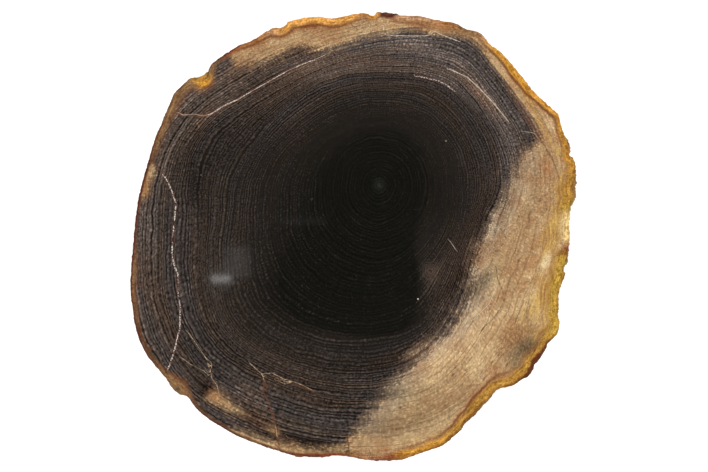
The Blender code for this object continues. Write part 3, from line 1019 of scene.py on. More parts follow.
skin = carved(base)
bpy.data.objects.remove(base)
spots = np.empty(len(skin.vertices) * 3)
skin.vertices.foreach_get("co", spots)
spots = spots.reshape(-1, 3)
spots = np.clip(spots, np.array(cad_bounds[0]), np.array(cad_bounds[1]))
skin.vertices.foreach_set("co", spots.ravel())
for helper in ("outward", "relief", "part"):
    skin.attributes.remove(skin.attributes[helper])
moved = np.linalg.norm(spots[:wall_count] - points[:wall_count], axis=1)
print("relief moves the wall by", round(moved.mean() / MM, 2), "mm on average")
print("finishes:", [material.name for material in skin.materials])

# %% [markdown]
# ## What the shader reads
# All that was read off the stone is now stored on the vertices, three numbers to an attribute:
# ring age, distance from the face's edge and heart; the tan zone's depth, raggedness and softness;
# three stains of the wood and three of the rim; the rind's width, inner line and dark lip, the lip
# partly painted edge shade; the rind's colour; and each kind of vein.

# %% Store the readings on the vertices
EDGE_FINENESS = 4


def distance_to_edge(places):
    loop = spots[top_row_start:wall_count, :2]
    shares = np.arange(EDGE_FINENESS) / EDGE_FINENESS
    after = np.roll(loop, -1, axis=0)
    fine = (loop[:, None] + (after - loop)[:, None] * shares[None, :, None]).reshape(-1, 2)
    return np.where(is_on_wall, 0.0, distances_to(fine, places) / MM)


def store(name, *readings):
    add_attribute(skin, name, np.column_stack(readings), "FLOAT_VECTOR")


flat_places = spots[:, :2]
is_on_wall = np.arange(len(spots)) < wall_count
rim_angles = angles_from((0.0, 0.0), flat_places)
heart_gone, _ = level_between(HEART_GONE, flat_places)
store("wood", ring_age(flat_places), distance_to_edge(flat_places), heart_gone)
store("zone", *tan_zone(flat_places))
store("stain", *(stain(flat_places, name) for name in ("pale", "brown", "slate")))
store("rim_stain", *(stain(flat_places, name) for name in ("gold", "cream", "rust")))
rim_width = rind_value(lambda stop: stop[2] * PIXEL / MM, rim_angles)
rim_line = rind_value(lambda stop: stop[4], rim_angles)
store("rim", rim_width, rim_line, rind_value(lambda stop: stop[5], rim_angles))
store("rim_colour", *(
    rind_value(lambda stop: RIND_COLOURS[stop[3]][channel], rim_angles) for channel in range(3)))
for name, veins in VEINS.items():
    store(name, *vein_fields(flat_places, veins))
print("attributes:", [attribute.name for attribute in skin.attributes])

# %% [markdown]
# ## A map for baking
# Baking the colours into an image needs every part of the skin in its own area of one map.
# Blender's automatic unwrapping would cut the face into islands with seams. The face is flat, so
# it is laid out just as it is seen and takes most of the map, with the back in a corner and the
# wall as three strips.

# %% Unfold the skin
MAP_NAME = "OFBake"
FACE_AREA = (0.004, 0.262, 0.732)
BACK_AREA = (0.742, 0.746, 0.252)
MAP_MARGIN = 0.004
STRIPS = 3
STRIP_WIDTH = 0.99
STRIP_RISE = 0.084
STRIP_HEIGHT = 0.074
SHARP_ANGLE = 0.7


def unfold(mesh):
    layer = mesh.uv_layers.new(name=MAP_NAME)
    corner_vertex = np.empty(len(mesh.loops), np.int32)
    mesh.loops.foreach_get("vertex_index", corner_vertex)
    corners = np.repeat(face_part, [len(face) for face in faces])
    width = max(high_corner[0] - low_corner[0], high_corner[1] - low_corner[1])
    flat = (spots[corner_vertex, :2] - np.array(low_corner[:2])) / width
    uv = np.zeros((len(corner_vertex), 2))
    for part, (left, bottom, size) in ((0, FACE_AREA), (2, BACK_AREA)):
        uv[corners == part] = flat[corners == part] * size + (left, bottom)
    column = corner_vertex % COLUMNS
    quad_column = np.zeros(len(corner_vertex), np.int32)
    quad_column[corners == 1] = np.repeat(np.tile(columns, ROWS - 1), 4)
    column = np.where((column == 0) & (quad_column == COLUMNS - 1), COLUMNS, column)
    per_strip = COLUMNS / STRIPS
    strip = np.floor(quad_column / per_strip)
    across = (column - strip * per_strip) / per_strip * STRIP_WIDTH
    up = spots[corner_vertex, 2] / thickness * STRIP_HEIGHT + strip * STRIP_RISE
    on_wall = corners == 1
    uv[on_wall] = np.column_stack([across, up])[on_wall] + MAP_MARGIN
    layer.uv.foreach_set("vector", uv.ravel())


unfold(skin)
skin.shade_smooth()
skin.set_sharp_from_angle(angle=SHARP_ANGLE)
print("map:", skin.uv_layers[0].name)

# %% [markdown]
# ## The colour of the wood
# The face and the back are the same wood, so one function paints both. Patterns that belong to the
# growth must follow the rings, so they are made in ring coordinates: the direction from the pith,
# which has no seam, and the ring's age. A noise that changes fast with age and slowly with
# direction makes streaks along the rings; the other way round it makes the fine rays that cross
# them.

# %% Fields that the wood's patterns share
RING_WANDER = 0.8
RING_TREMOR = 0.12
RING_UNEVENNESS = 2.0
STEADY_RINGS = 8.0


def stored_vector(tree, name):
    return node(tree, "ShaderNodeAttribute", {}, 1, attribute_name=name)


class Wood:
    """The readings stored on the stone, as fields of one material's node tree."""

    def __init__(self, tree):
        self.tree = tree
        coordinates = node(tree, "ShaderNodeTexCoord", {}, 3)
        self.place = scaled(coordinates, 1 / MM, 1 / MM, 1 / MM)
        self.age, self.edge, self.heart_gone = split(stored_vector(tree, "wood"))
        self.tan_depth, self.ragged, self.soft = split(stored_vector(tree, "zone"))
        self.pale, self.brown, self.slate = split(stored_vector(tree, "stain"))
        self.gold, self.cream, self.rust = split(stored_vector(tree, "rim_stain"))
        self.rim_width, self.rim_line, self.rim_lip_and_shade = split(stored_vector(tree, "rim"))
        self.rim_colour = stored_vector(tree, "rim_colour")
        from_pith = vector_maths("SUBTRACT", self.place, (pith[0] / MM, pith[1] / MM, 0.0))
        direction = vector_maths("NORMALIZE", scaled(from_pith, 1.0, 1.0, 0.0))
        self.east, self.north, _ = split(direction)
        wander = (noise_at(self.place, 0.11) - 0.5) * RING_WANDER
        wander = wander + (noise_at(self.place, 0.5) - 0.5) * RING_TREMOR
        uneven = noise_at(joined(0.0, 0.0, self.age * 0.35), 1.0, 2.0) - 0.5
        shift = (wander + uneven * RING_UNEVENNESS) * between(self.age, 0.0, STEADY_RINGS)
        self.ring = self.age + shift

    def noise_round(self, round_frequency, across, detail):
        """Noise that changes with the direction from the pith and with one more field."""
        place = joined(self.east * round_frequency, self.north * round_frequency, across)
        return noise_at(place, 1.0, detail)

    def streaks(self, round_frequency, ring_frequency, detail=2.0):
        """Noise in ring coordinates."""
        return self.noise_round(round_frequency, self.ring * ring_frequency, detail)

    def edge_streaks(self, round_frequency, edge_frequency, detail=2.0):
        """Noise that runs along the edge of the face."""
        return self.noise_round(round_frequency, self.edge * edge_frequency, detail)


# %% [markdown]
# ## Dark wood
# Each ring is a soft dark line and a paler band. Lines differ from ring to ring, whole groups of
# rings are paler, browner or greyer than others, and the petrified cells show as rows of fine
# dots. Towards the heart everything sinks into black, the ring lines last.

# %% Dark rings and the black heart
BROWN_WOOD = stone_colour(58, 48, 41)
GREY_WOOD = stone_colour(52, 46, 43)
HEART = stone_colour(8, 10, 6)
WARM = (1.3, 1.0, 0.8, 1.0)
COOL = (0.96, 1.0, 1.03, 1.0)
PALEST_WOOD = 2.2
PITH_GREY = stone_colour(48, 49, 44)
ROWS_PER_RING = 1.55
CELLS_ROUND, CELLS_PER_RING = 85.0, 3.2
RAYS_ROUND, RAYS_PER_RING = 140.0, 0.35
GRAIN_STRENGTH = 1.9
HEART_LINES = 0.09
PITH_RINGS = 2.1
PITH_LINES = 0.42


def cell_rows(wood):
    """The fine pale rows of cells between the ring lines, 0 to 1."""
    return between(from_whole(wood.ring * ROWS_PER_RING), 0.15, 0.85)


def ring_profile(wood):
    """How pale each place is within its ring and its group of rings, 1 on average."""
    across = from_whole(wood.ring)
    strength = 0.1 + between(wood.streaks(2.2, 1.05, 3.0), 0.38, 0.66) * 0.65
    line = 1.05 - fading(across, 0.0, 0.5) * strength * 0.75
    clear = between(wood.streaks(2.5, 1.2, 2.0), 0.36, 0.6)
    rows = 1.0 + (cell_rows(wood) - 0.5) * (0.35 + clear * 0.8)
    fine = 0.78 + between(wood.streaks(1.8, 3.3, 2.0), 0.38, 0.62) * 0.4
    group = 0.86 + between(wood.streaks(1.2, 0.22, 2.0), 0.3, 0.7) * 0.28
    return line * rows * fine * group


def grain(wood):
    """The rows of fine dots that the petrified cells make, about -0.5 to 0.5."""
    cells = wood.streaks(CELLS_ROUND, CELLS_PER_RING, 0.0) - 0.5
    rays = wood.streaks(RAYS_ROUND, RAYS_PER_RING, 1.0) - 0.5
    dust = noise_at(wood.place, 1.3, 1.0, 0.7) - 0.5
    sparkle = between(cells, 0.1, 0.3)
    return cells * 0.9 + sparkle * 0.4 + rays * 0.6 + dust * 0.6


def dark_wood(wood):
    level = maths("MAXIMUM", ring_profile(wood) * (1.0 + grain(wood) * GRAIN_STRENGTH), 0.1)
    contrast = 0.6 + between(wood.heart_gone, 0.3, 1.2) * 0.4 - between(wood.slate, 0.2, 0.8) * 0.3
    level = 1.0 + (level - 1.0) * contrast
    hue = between(wood.streaks(1.0, 0.35, 3.0) + wood.slate * 0.2 - wood.brown * 0.2, 0.35, 0.65)
    paleness = maths("MAXIMUM", 1.0 + wood.pale * 0.9, 0.2)
    colour = times(mixed(hue, BROWN_WOOD, GREY_WOOD), level * paleness)
    colour = mixed(maths("MINIMUM", wood.brown * 0.6, 1.0), colour, WARM, "MULTIPLY")
    colour = mixed(maths("MINIMUM", wood.slate * 0.6, 1.0), colour, COOL, "MULTIPLY")
    unrest = 0.8 + wood.streaks(1.4, 0.5, 3.0) * 0.4
    gone = maths("MINIMUM", wood.heart_gone * unrest, PALEST_WOOD)
    heart = mixed(level * level * HEART_LINES, HEART, GREY_WOOD)
    heart = mixed(fading(wood.age, 0.0, PITH_RINGS) * level * PITH_LINES, heart, PITH_GREY)
    colour = mixed(maths("MINIMUM", gone, 1.0), heart, colour)
    return times(colour, maths("MAXIMUM", gone, 1.0))


# %% [markdown]
# ## Tan wood
# The tan zone keeps the rings as faint brown streaks. Over them lie pinkish patches, wormy brown
# marks, a fine mottle and clusters of dark specks. Its border with the dark wood is soft and
# brownish and breaks up into fingers along the rings and into single cells, so the depth that
# decides between the two is shifted by streaks and grain.

# %% Tan wood and its border
TAN = stone_colour(172, 139, 100)
TAN_LIGHT = stone_colour(198, 168, 125)
TAN_PINK = stone_colour(166, 124, 86)
TAN_STREAK = stone_colour(112, 82, 56)
TAN_SPECK = stone_colour(66, 46, 33)
TAN_GREY = stone_colour(116, 99, 72)
TAN_GREYER = (0.82, 0.94, 1.28, 1.0)
BORDER_BROWN = stone_colour(104, 80, 64)
TAN_DRIFT = 1.5
TAN_GRAIN = 0.8
FINGER_REACH = 5.4
CLOUD_REACH = 3.2
CELL_REACH = 1.3
GREYER_REACH = 6.0


def tan_wood(wood):
    clouds = between(noise_at(wood.place, 0.07, 3.0), 0.35, 0.65)
    colour = mixed(clouds, TAN, TAN_LIGHT)
    pink = between(noise_at(wood.place, 0.15, 4.0) + wood.brown * 0.25, 0.48, 0.8)
    colour = mixed(pink * 0.8, colour, TAN_PINK)
    colour = mixed(maths("MINIMUM", wood.slate * 0.75, 0.9), colour, TAN_GREY)
    drift = (noise_at(wood.place, 0.06, 1.0) - 0.5) * TAN_DRIFT
    across = from_whole(wood.ring + drift)
    line = fading(across, 0.0, 0.45) * between(wood.streaks(2.0, 0.9, 2.0), 0.38, 0.58)
    bands = between(wood.streaks(1.3, 1.4, 3.0), 0.48, 0.68)
    rows = (1.0 - cell_rows(wood)) * between(wood.streaks(1.6, 0.8, 2.0), 0.42, 0.6)
    colour = mixed(line * 0.45 + rows * 0.16 + bands * 0.24, colour, TAN_STREAK)
    mottle = noise_at(wood.place, 0.5, 3.0, 0.6) - 0.5
    colour = times(colour, 1.04 + grain(wood) * TAN_GRAIN + mottle * 0.7 + wood.pale * 0.6)
    specks = between(wood.streaks(34.0, 3.4, 3.0), 0.55, 0.64)
    clusters = between(wood.streaks(5.0, 0.35, 3.0), 0.52, 0.66)
    return mixed(specks * clusters * 0.6, colour, TAN_SPECK)


def even_ramp(value, low, high):
    """A straight step: 0 at low, 1 at high."""
    inputs = {"Value": value, "From Min": low, "From Max": high}
    return node(value.tree, "ShaderNodeMapRange", inputs, 0)


def wood_zones(wood):
    fingers = (wood.streaks(1.5, 1.5, 3.0) - 0.5) * FINGER_REACH
    clouds = (noise_at(wood.place, 0.2, 4.0, 0.6) - 0.5) * CLOUD_REACH
    cells = grain(wood) * CELL_REACH
    depth = wood.tan_depth + (fingers + clouds + cells) * wood.ragged
    share = even_ramp(depth / wood.soft, -1.0, 1.0)
    greyer = fading(depth / wood.ragged, 0.0, GREYER_REACH) * between(wood.ragged, 1.9, 2.7)
    tan = mixed(greyer * 0.8, tan_wood(wood), TAN_GREYER, "MULTIPLY")
    colour = mixed(share * share, dark_wood(wood), tan)
    return mixed(share * (1.0 - share), colour, BORDER_BROWN)


# %% [markdown]
# ## Rind and rim stains
# The rind lies along the edge of the face, as wide as the stops say. Across its width it goes from
# a dark lip through the bright colour to a browner inner side with a fine brown line, and beyond
# that golden, rusty and cream stains fade into the wood. The dark lip is partly the rind's own
# dark edge and partly painted shade where the face turns down. Its grain runs along the edge, so
# its noise uses the distance from the edge in place of the ring's age.

# %% Stains, rind, and the lip with its painted edge shade
RIND_LIGHTER = (1.5, 1.55, 1.7, 1.0)
RIND_BROWNER = (0.5, 0.42, 0.34, 1.0)
RIND_LINE = stone_colour(108, 62, 34)
# Dark red-brown of the lip at the face's edge, partly painted shade there; it also reddens the
# wood by the dotted veins.
RIND_LIP_AND_EDGE_SHADE = stone_colour(84, 40, 27)
GOLD_STAIN = stone_colour(166, 121, 60)
GOLD_LIGHT = stone_colour(214, 176, 98)
CREAM_STAIN = stone_colour(240, 218, 170)
RUST_STAIN = stone_colour(158, 94, 48)
RIM_GRAIN = 1.6
LIP_WIDTH = 1.7


def with_stains(wood, colour):
    """The golden, rusty and cream stains near the rim, broken up by mottle."""
    mottle = (noise_at(wood.place, 0.35, 4.0, 0.65) - 0.5) * 1.6
    seams = between(wood.edge_streaks(9.0, 0.9, 4.0), 0.42, 0.6)
    gold = mixed(seams, GOLD_STAIN, GOLD_LIGHT)
    for amount, tint in ((wood.gold, gold), (wood.rust, RUST_STAIN), (wood.cream, CREAM_STAIN)):
        share = between(amount + mottle * between(amount, 0.0, 0.4), 0.1, 1.0)
        colour = mixed(share * 0.85, colour, tint)
    wormy = fading(maths("ABSOLUTE", noise_at(wood.place, 0.42, 2.0, 0.6) - 0.5), 0.0, 0.04)
    crinkled = maths("MINIMUM", wood.brown + wood.gold * 0.7 + 0.25, 1.0)
    crinkled = crinkled * between(wood.tan_depth, 0.0, 3.0)
    return mixed(wormy * crinkled * 0.55, colour, TAN_STREAK)


def with_rind(wood, colour):
    flow = wood.edge_streaks(9.0, 0.15, 4.0) - 0.5
    mottle = noise_at(wood.place, 0.75, 4.0, 0.7)
    layers = wood.edge_streaks(16.0, 1.4, 2.0) * 0.4 + mottle * 0.6
    share = wood.edge / wood.rim_width + flow * 1.1 + (mottle - 0.5) * 0.5
    under = fading(share, 1.0, 1.9) * wood.rim_line
    colour = mixed(under * 0.5, colour, RUST_STAIN)
    rind = mixed(between(layers, 0.5, 0.6) * 0.8, wood.rim_colour, RIND_LIGHTER, "MULTIPLY")
    rind = mixed(between(layers, 0.5, 0.42) * 0.85, rind, RIND_BROWNER, "MULTIPLY")
    browner = mixed(0.4, rind, RIND_LINE)
    rind = mixed(between(share, 0.4, 1.0), rind, browner)
    blurred = 1.0 - wood.rim_line
    colour = mixed(fading(share, 0.7 - blurred * 0.35, 1.15 + blurred * 0.35), colour, rind)
    from_line = maths("ABSOLUTE", share - 1.1) * wood.rim_width
    line = fading(from_line, 0.1, 1.1) * wood.rim_line
    return mixed(line * 0.85, colour, RIND_LINE)


def with_lip_and_edge_shade(wood, colour):
    """Grain over all that lies at the rim, and the dark lip at the very edge, partly painted
    shade.
    """
    near_edge = fading(wood.edge, 3.0, 8.0)
    mottle = noise_at(wood.place, 1.1, 2.0, 0.7) - 0.5
    colour = times(colour, 1.0 + mottle * near_edge * RIM_GRAIN)
    uneven = noise_at(wood.place, 0.6, 3.0) - 0.5
    # Partly painted shade: the lip darkens the face along its very edge.
    lip = fading(wood.edge + uneven * 2.2, 0.3, LIP_WIDTH) * wood.rim_lip_and_shade
    return mixed(lip * 0.9, colour, RIND_LIP_AND_EDGE_SHADE)


# %% [markdown]
# ## Veins, knot, eye and specks
# A vein is drawn where the stored distance is less than its width, with a tremble so that it isn't
# a clean stroke, and with gaps that turn some of them into strings of beads. A few marks are too
# small for the net of vertices: the little knot at the lower right, the faint eye of arcs beside
# the heart and four white specks. The shader draws each from the distance to its middle.

# %% Veins along the stored paths
CREAM = stone_colour(218, 200, 178)
WHITE = stone_colour(222, 214, 202)
VEIN_TAN = stone_colour(208, 178, 142)
VEIN_RUST = stone_colour(104, 66, 46)
CRACK = stone_colour(30, 21, 17)
NEAR_LIMIT = 1.5
TREMBLE = 1.8


def vein_share(wood, name, gappy, dots=0.9):
    """1 along the veins, with gaps: gappy is how much of the vein the gaps take away."""
    signed, near, half_width = split(stored_vector(wood.tree, name))
    tremble = (noise_at(wood.place, 0.9, 3.0) - 0.5) * TREMBLE
    thin = 0.45 + noise_at(wood.place, 0.3, 2.0)
    across = maths("ABSOLUTE", signed / (half_width * thin) + tremble)
    share = fading(across, 0.2, 1.0) * maths("LESS_THAN", near, NEAR_LIMIT)
    beads = between(noise_at(wood.place, dots, 1.0), 0.45, 0.56)
    stretches = between(noise_at(wood.place, 0.22, 1.0), 0.34, 0.5)
    return share * (1.0 - gappy + beads * stretches * gappy)


# %% Knot, eye and specks
KNOT = (515, 364)
KNOT_RADIUS = 1.35
KNOT_BROWN = stone_colour(110, 86, 58)
KNOT_PALE = stone_colour(176, 158, 120)
EYE = (432, 272)
EYE_RADIUS = 8.0
EYE_ARCS = 0.6
EYE_BROWN = stone_colour(118, 96, 84)
# x, y, strength
SPECKS = [(418, 299, 1.0), (446, 141, 0.4), (312, 199, 0.06), (201, 175, 0.15)]


def distance_from(wood, pixel):
    x, y = on_face(pixel)[0] / MM
    _, _, height = split(wood.place)
    return vector_maths("DISTANCE", wood.place, joined(float(x), float(y), height), output=1)


def with_knot_and_specks(wood, colour):
    away = distance_from(wood, KNOT) + (noise_at(wood.place, 0.6, 3.0) - 0.5) * 1.8
    colour = mixed(fading(away, 1.2, 3.6) * 0.55, colour, KNOT_BROWN)
    pale_ring = fading(maths("ABSOLUTE", away - KNOT_RADIUS), 0.1, 0.6)
    colour = mixed(pale_ring * 0.4, colour, KNOT_PALE)
    away = distance_from(wood, EYE) + (noise_at(wood.place, 0.18, 3.0) - 0.5) * 8.0
    arcs = 0.15 + between(from_whole(away * EYE_ARCS), 0.2, 0.8) * 0.85
    colour = mixed(fading(away, 0.5, EYE_RADIUS) * arcs * 0.3, colour, EYE_BROWN)
    for x, y, strength in SPECKS:
        share = fading(distance_from(wood, (x, y)), 0.15, 0.5)
        colour = mixed(share * strength, colour, WHITE)
    return colour


# %% The whole face
def with_veins(wood, colour):
    _, near, _ = split(stored_vector(wood.tree, "vein_dotted"))
    reddened = fading(near + noise_at(wood.place, 0.3, 3.0) * 1.4, 0.9, 1.8)
    colour = mixed(reddened * 0.5, colour, RIND_LIP_AND_EDGE_SHADE)
    colour = mixed(vein_share(wood, "vein_dark", 0.5) * 0.8, colour, CRACK)
    colour = mixed(vein_share(wood, "vein_rust", 0.3) * 0.75, colour, VEIN_RUST)
    colour = mixed(vein_share(wood, "vein_tan", 0.6) * 0.85, colour, VEIN_TAN)
    colour = mixed(vein_share(wood, "vein_cream", 0.45) * 0.95, colour, CREAM)
    colour = mixed(vein_share(wood, "vein_dotted", 1.0, 1.5), colour, WHITE)
    return with_knot_and_specks(wood, colour)


def face_colour(wood):
    return with_veins(wood, with_lip_and_edge_shade(wood, with_rind(wood, with_stains(wood, wood_zones(wood)))))


# %% [markdown]
# ## Three finishes
# The face and the back are flat and the bark is rough, so the stone needs three materials. The
# polished face is glossy quartz: it is nearly a mirror at a low angle, and shows its colours deep
# and clear from above. A clear coat over a rough base would haze the black heart, so one low
# roughness does it. It is a touch higher on the tan wood, which takes the polish less well.

# %% Polished face
QUARTZ_INDEX = 1.54
POLISHED_SPECULAR = 0.5
ROUGH_SPECULAR = 0.08
POLISH = 0.03


def finish(material, colour, roughness, normal=None):
    tree = material.node_tree
    shader = tree.nodes["Principled BSDF"]
    shader.inputs["IOR"].default_value = QUARTZ_INDEX
    specular = POLISHED_SPECULAR if material is polished else ROUGH_SPECULAR
    shader.inputs["Specular IOR Level"].default_value = specular
    tree.links.new(colour.socket, shader.inputs["Base Color"])
    if isinstance(roughness, Field):
        tree.links.new(roughness.socket, shader.inputs["Roughness"])
    else:
        shader.inputs["Roughness"].default_value = roughness
    if normal:
        tree.links.new(normal.socket, shader.inputs["Normal"])


def bump(height, distance, strength=1.0):
    inputs = {"Height": height, "Distance": distance, "Strength": strength}
    return node(height.tree, "ShaderNodeBump", inputs)


for material in finishes:
    material.use_nodes = True
polished, bark, sawn = finishes
wood = Wood(polished.node_tree)
duller = between(wood.tan_depth, -0.5, 1.0) * 0.05 + noise_at(wood.place, 0.9, 2.0) * 0.03
finish(polished, face_colour(wood), POLISH + duller)
print("polished face:", len(polished.node_tree.nodes), "nodes")

# %% [markdown]
# ## Natural bark
# The bark is matt and crusty, ochre and brown with ash-grey patches, and near the face it takes
# the colour that the rind has there. Its pits are darkened with painted shade, by the same noise
# as the carved ones, so the shade lies in the pits. Below a dark lip the wall's top is darkened
# too, partly the rind's dark edge and partly painted shade. The finest crust is smaller than the
# mesh can carry, so a bump makes it.

# %% Bark colours, crust and gloss
BARK_BROWN = stone_colour(108, 80, 56)
BARK_OCHRE = stone_colour(158, 120, 74)
# Dark brown for the bark's dark grain, and for the painted shade in its pits.
BARK_DARK_AND_PIT_SHADE = stone_colour(52, 40, 32)
BARK_GREY = stone_colour(156, 138, 112)
RIND_DEPTH = 8.0
BARK_ROUGHNESS = 0.8
GLASSY_SMOOTHER = 0.3
CRUST_BUMP = 0.35 * MM


def bark_colour(wood):
    upright = scaled(wood.place, 1.0, 1.0, 0.5)
    lumps = noise_at(upright, 0.12, 4.0, 0.6)
    colour = mixed(between(lumps, 0.38, 0.62), BARK_BROWN, BARK_OCHRE)
    ash = between(noise_at(upright, 0.16, 4.0, 0.6), 0.5, 0.66)
    colour = mixed(ash * 0.6, colour, BARK_GREY)
    _, _, height = split(wood.place)
    ragged = (noise_at(wood.place, 0.2, 4.0, 0.6) - 0.5) * RIND_DEPTH * 2.0
    below_face = thickness / MM - height + ragged
    near_face = fading(below_face, 0.0, RIND_DEPTH)
    colour = mixed(0.2 + near_face * 0.65, colour, wood.rim_colour)
    grain = noise_at(upright, 0.55, 3.0)
    colour = mixed(between(grain, 0.5, 0.72) * 0.7, colour, BARK_DARK_AND_PIT_SHADE)
    # Painted shade: the carved pits are darkened, by the same noise that carves them.
    pits = between(noise_at(wood.place, MM / RELIEF_INPUTS["Pit spacing"], 1.0), 0.54, 0.68)
    colour = mixed(pits * 0.6, colour, BARK_DARK_AND_PIT_SHADE)
    # Partly painted shade: where the face has a dark lip, the wall just below it is darkened too.
    colour = mixed(wood.rim_lip_and_shade * near_face * 0.95, colour, RIND_LIP_AND_EDGE_SHADE)
    return times(colour, 0.5 + noise_at(wood.place, 1.1, 3.0) * 0.9)


wood = Wood(bark.node_tree)
glassy = node(wood.tree, "ShaderNodeAttribute", {}, 2, attribute_name="glassy")
crust = noise_at(wood.place, 1.6, 4.0, 0.6)
roughness = BARK_ROUGHNESS - glassy * GLASSY_SMOOTHER
finish(bark, bark_colour(wood), roughness, bump(crust, CRUST_BUMP, 0.7))
print("natural bark:", len(bark.node_tree.nodes), "nodes")

# %% [markdown]
# ## Sawn back
# The back was sawn and never polished. It shows the same rings as the face, so the same function
# paints it, with pale dust mixed in. Long straight noise makes the saw's marks, both in the dust
# and in a very shallow bump.

# %% Dust and saw marks
SAW_DUST = stone_colour(142, 132, 118)
SAWN_ROUGHNESS = 0.62
SAW_MARK_BUMP = 0.08 * MM
wood = Wood(sawn.node_tree)
saw_marks = noise_at(scaled(wood.place, 0.015, 1.1, 1.0), 1.0, 2.0)
dusty = mixed(0.2 + saw_marks * 0.22, face_colour(wood), SAW_DUST)
finish(sawn, dusty, SAWN_ROUGHNESS, bump(saw_marks, SAW_MARK_BUMP, 0.6))
print("sawn back:", len(sawn.node_tree.nodes), "nodes")

# %% [markdown]
# ## The floor
# The slice lies on a pale floor. A plane would end in a visible edge, so the floor curves up into
# a low white wall and the horizon stays clean from any side. It glows a little itself, which keeps
# it white between the lamps.

# %% A floor that curves up
FLOOR_DROP = 0.3 * MM
FLOOR_RADIUS = 2.6
WALL_TOP = 1.5
COVE = 0.5
COVE_STEPS = 9
FLOOR_SIDES = 96
FLOOR_WHITE = 0.93
FLOOR_ROUGHNESS = 0.9
FLOOR_GLOW = 0.35


def floor_mesh():
    turns = np.linspace(0, np.pi / 2, COVE_STEPS)
    profile = [(FLOOR_RADIUS + COVE * np.sin(t), COVE * (1 - np.cos(t))) for t in turns]
    profile.append((FLOOR_RADIUS + COVE, WALL_TOP))
    mesh = bpy.data.meshes.new("studio_floor")
    shape = bmesh.new()
    angles = np.arange(FLOOR_SIDES) * 2 * np.pi / FLOOR_SIDES
    circle = np.column_stack([np.cos(angles), np.sin(angles)])
    rows = []
    for radius, height in profile:
        level = height - FLOOR_DROP
        rows.append([shape.verts.new((radius * x, radius * y, level)) for x, y in circle])
    shape.faces.new(rows[0])
    for low, high in zip(rows, rows[1:]):
        for k in range(FLOOR_SIDES):
            after = (k + 1) % FLOOR_SIDES
            shape.faces.new((low[k], low[after], high[after], high[k]))
    bmesh.ops.reverse_faces(shape, faces=shape.faces[1:])
    shape.to_mesh(mesh)
    mesh.shade_smooth()
    return mesh


floor_paint = bpy.data.materials.new("studio floor")
floor_paint.use_nodes = True
floor_shader = floor_paint.node_tree.nodes["Principled BSDF"]
floor_shader.inputs["Base Color"].default_value = (FLOOR_WHITE, FLOOR_WHITE, FLOOR_WHITE, 1.0)
floor_shader.inputs["Roughness"].default_value = FLOOR_ROUGHNESS
floor_shader.inputs["Emission Color"].default_value = (1.0, 1.0, 1.0, 1.0)
floor_shader.inputs["Emission Strength"].default_value = FLOOR_GLOW
floor = bpy.data.objects.new("studio_floor", floor_mesh())
floor.data.materials.append(floor_paint)
bpy.context.scene.collection.objects.link(floor)
print("floor:", len(floor.data.polygons), "faces")

# %% [markdown]
# ## The lamps
# Four large soft lamps stand round the slice and none hangs above it: from straight above the
# polish then mirrors a dark ceiling, which keeps the heart black. The big lamps are left out of
# reflections, because from a raised side view the mirror image of one would veil the whole face.
# Three small weak lamps beside the camera are mirrored in the polish: a short glint, a haze over
# it and a faint strip.

# %% Soft lamps round the slice
LAMP_COUNT = 4
LAMP_DISTANCE = 2.4
LAMP_ELEVATION = np.radians(50)
LAMP_SIZE = 1.5
LAMP_POWER = 24.0
CAMERA_LENS = 100.0
SENSOR = 36.0
VIEW_WIDTH = 708 * PIXEL
CAMERA_HEIGHT = VIEW_WIDTH * CAMERA_LENS / SENSOR
VIEW_MIDDLE = on_face((354, 236))[0]


def lamp(name, position, target, size, power):
    light = bpy.data.lights.new(name, "AREA")
    light.shape = "RECTANGLE"
    light.size, light.size_y = size
    light.energy = power
    placed = bpy.data.objects.new(name, light)
    placed.location = position
    placed.rotation_euler = (Vector(target) - Vector(position)).to_track_quat("-Z", "Y").to_euler()
    bpy.context.scene.collection.objects.link(placed)
    return placed


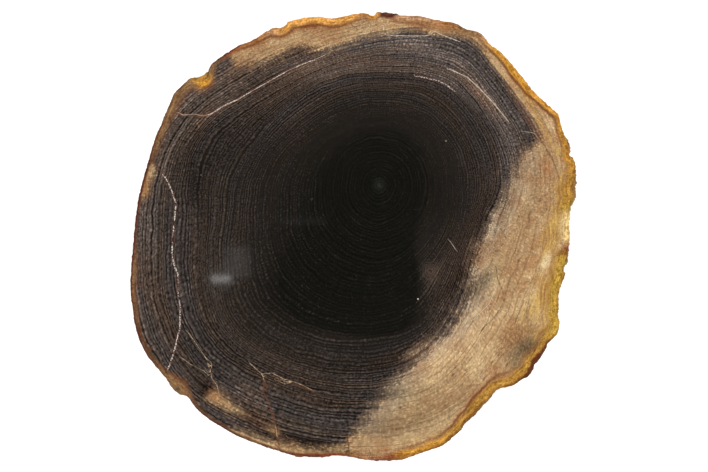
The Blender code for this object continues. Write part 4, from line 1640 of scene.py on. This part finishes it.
lamp_reach = LAMP_DISTANCE * np.cos(LAMP_ELEVATION)
lamp_height = LAMP_DISTANCE * np.sin(LAMP_ELEVATION)
for number in range(LAMP_COUNT):
    turn = np.radians(45 + 360 / LAMP_COUNT * number)
    position = (lamp_reach * np.cos(turn), lamp_reach * np.sin(turn), lamp_height)
    name = f"soft_lamp_{number + 1}"
    lamp(name, position, (0, 0, 0), (LAMP_SIZE, LAMP_SIZE), LAMP_POWER).visible_glossy = False
print("soft lamps:", len(bpy.data.lights))

# %% Small lamps that the polish mirrors
MIRROR_RISE = 0.95
MIRROR_LAMPS = {
    "glint_lamp": ((221, 279), (0.019, 0.006), 0.0017),
    "haze_lamp": ((237, 262), (0.026, 0.030), 0.0011),
    "strip_lamp": ((303, 221), (0.046, 0.004), 0.00014),
}
for name, (pixel, size, power) in MIRROR_LAMPS.items():
    spot = on_face(pixel)[0]
    place = spot + (spot - VIEW_MIDDLE) * MIRROR_RISE / CAMERA_HEIGHT
    small = lamp(name, (*place, thickness + MIRROR_RISE), (*spot, thickness), size, power)
    small.rotation_euler = (0.0, 0.0, 0.0)
print("lamps:", [light.name for light in bpy.data.lights])

# %% [markdown]
# ## Ceiling and camera
# The world is the dim ceiling that the polish mirrors. The camera looks straight down with a long
# lens, as in the photograph. Its height isn't tried out but worked out: the picture is 708 pixels
# wide, and one pixel has to be half a millimetre on the face.

# %% World and camera
CEILING_LIGHT = 0.03
world = bpy.data.worlds.new("dim ceiling")
world.use_nodes = True
background = world.node_tree.nodes["Background"]
background.inputs["Color"].default_value = (1.0, 1.0, 1.0, 1.0)
background.inputs["Strength"].default_value = CEILING_LIGHT
bpy.context.scene.world = world
bpy.context.scene.view_settings.view_transform = "Standard"

camera_data = bpy.data.cameras.new("camera")
camera_data.lens = CAMERA_LENS
camera_data.sensor_width = SENSOR
camera_data.clip_start = 0.01
camera_data.clip_end = 20.0
camera = bpy.data.objects.new("camera", camera_data)
camera.location = (*VIEW_MIDDLE, thickness + CAMERA_HEIGHT)
bpy.context.scene.collection.objects.link(camera)
bpy.context.scene.camera = camera
print("camera", round(camera.location.z, 3), "m up")

# %% [markdown]
# ## Put the piece in place
# The skin stands for the solid, which is hidden, and rides on the one body that the stone is.

# %% Finish
slice_piece = bpy.data.objects.new("petrified_wood", skin)
bpy.context.scene.collection.objects.link(slice_piece)
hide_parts(NODE)
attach(slice_piece, "root")
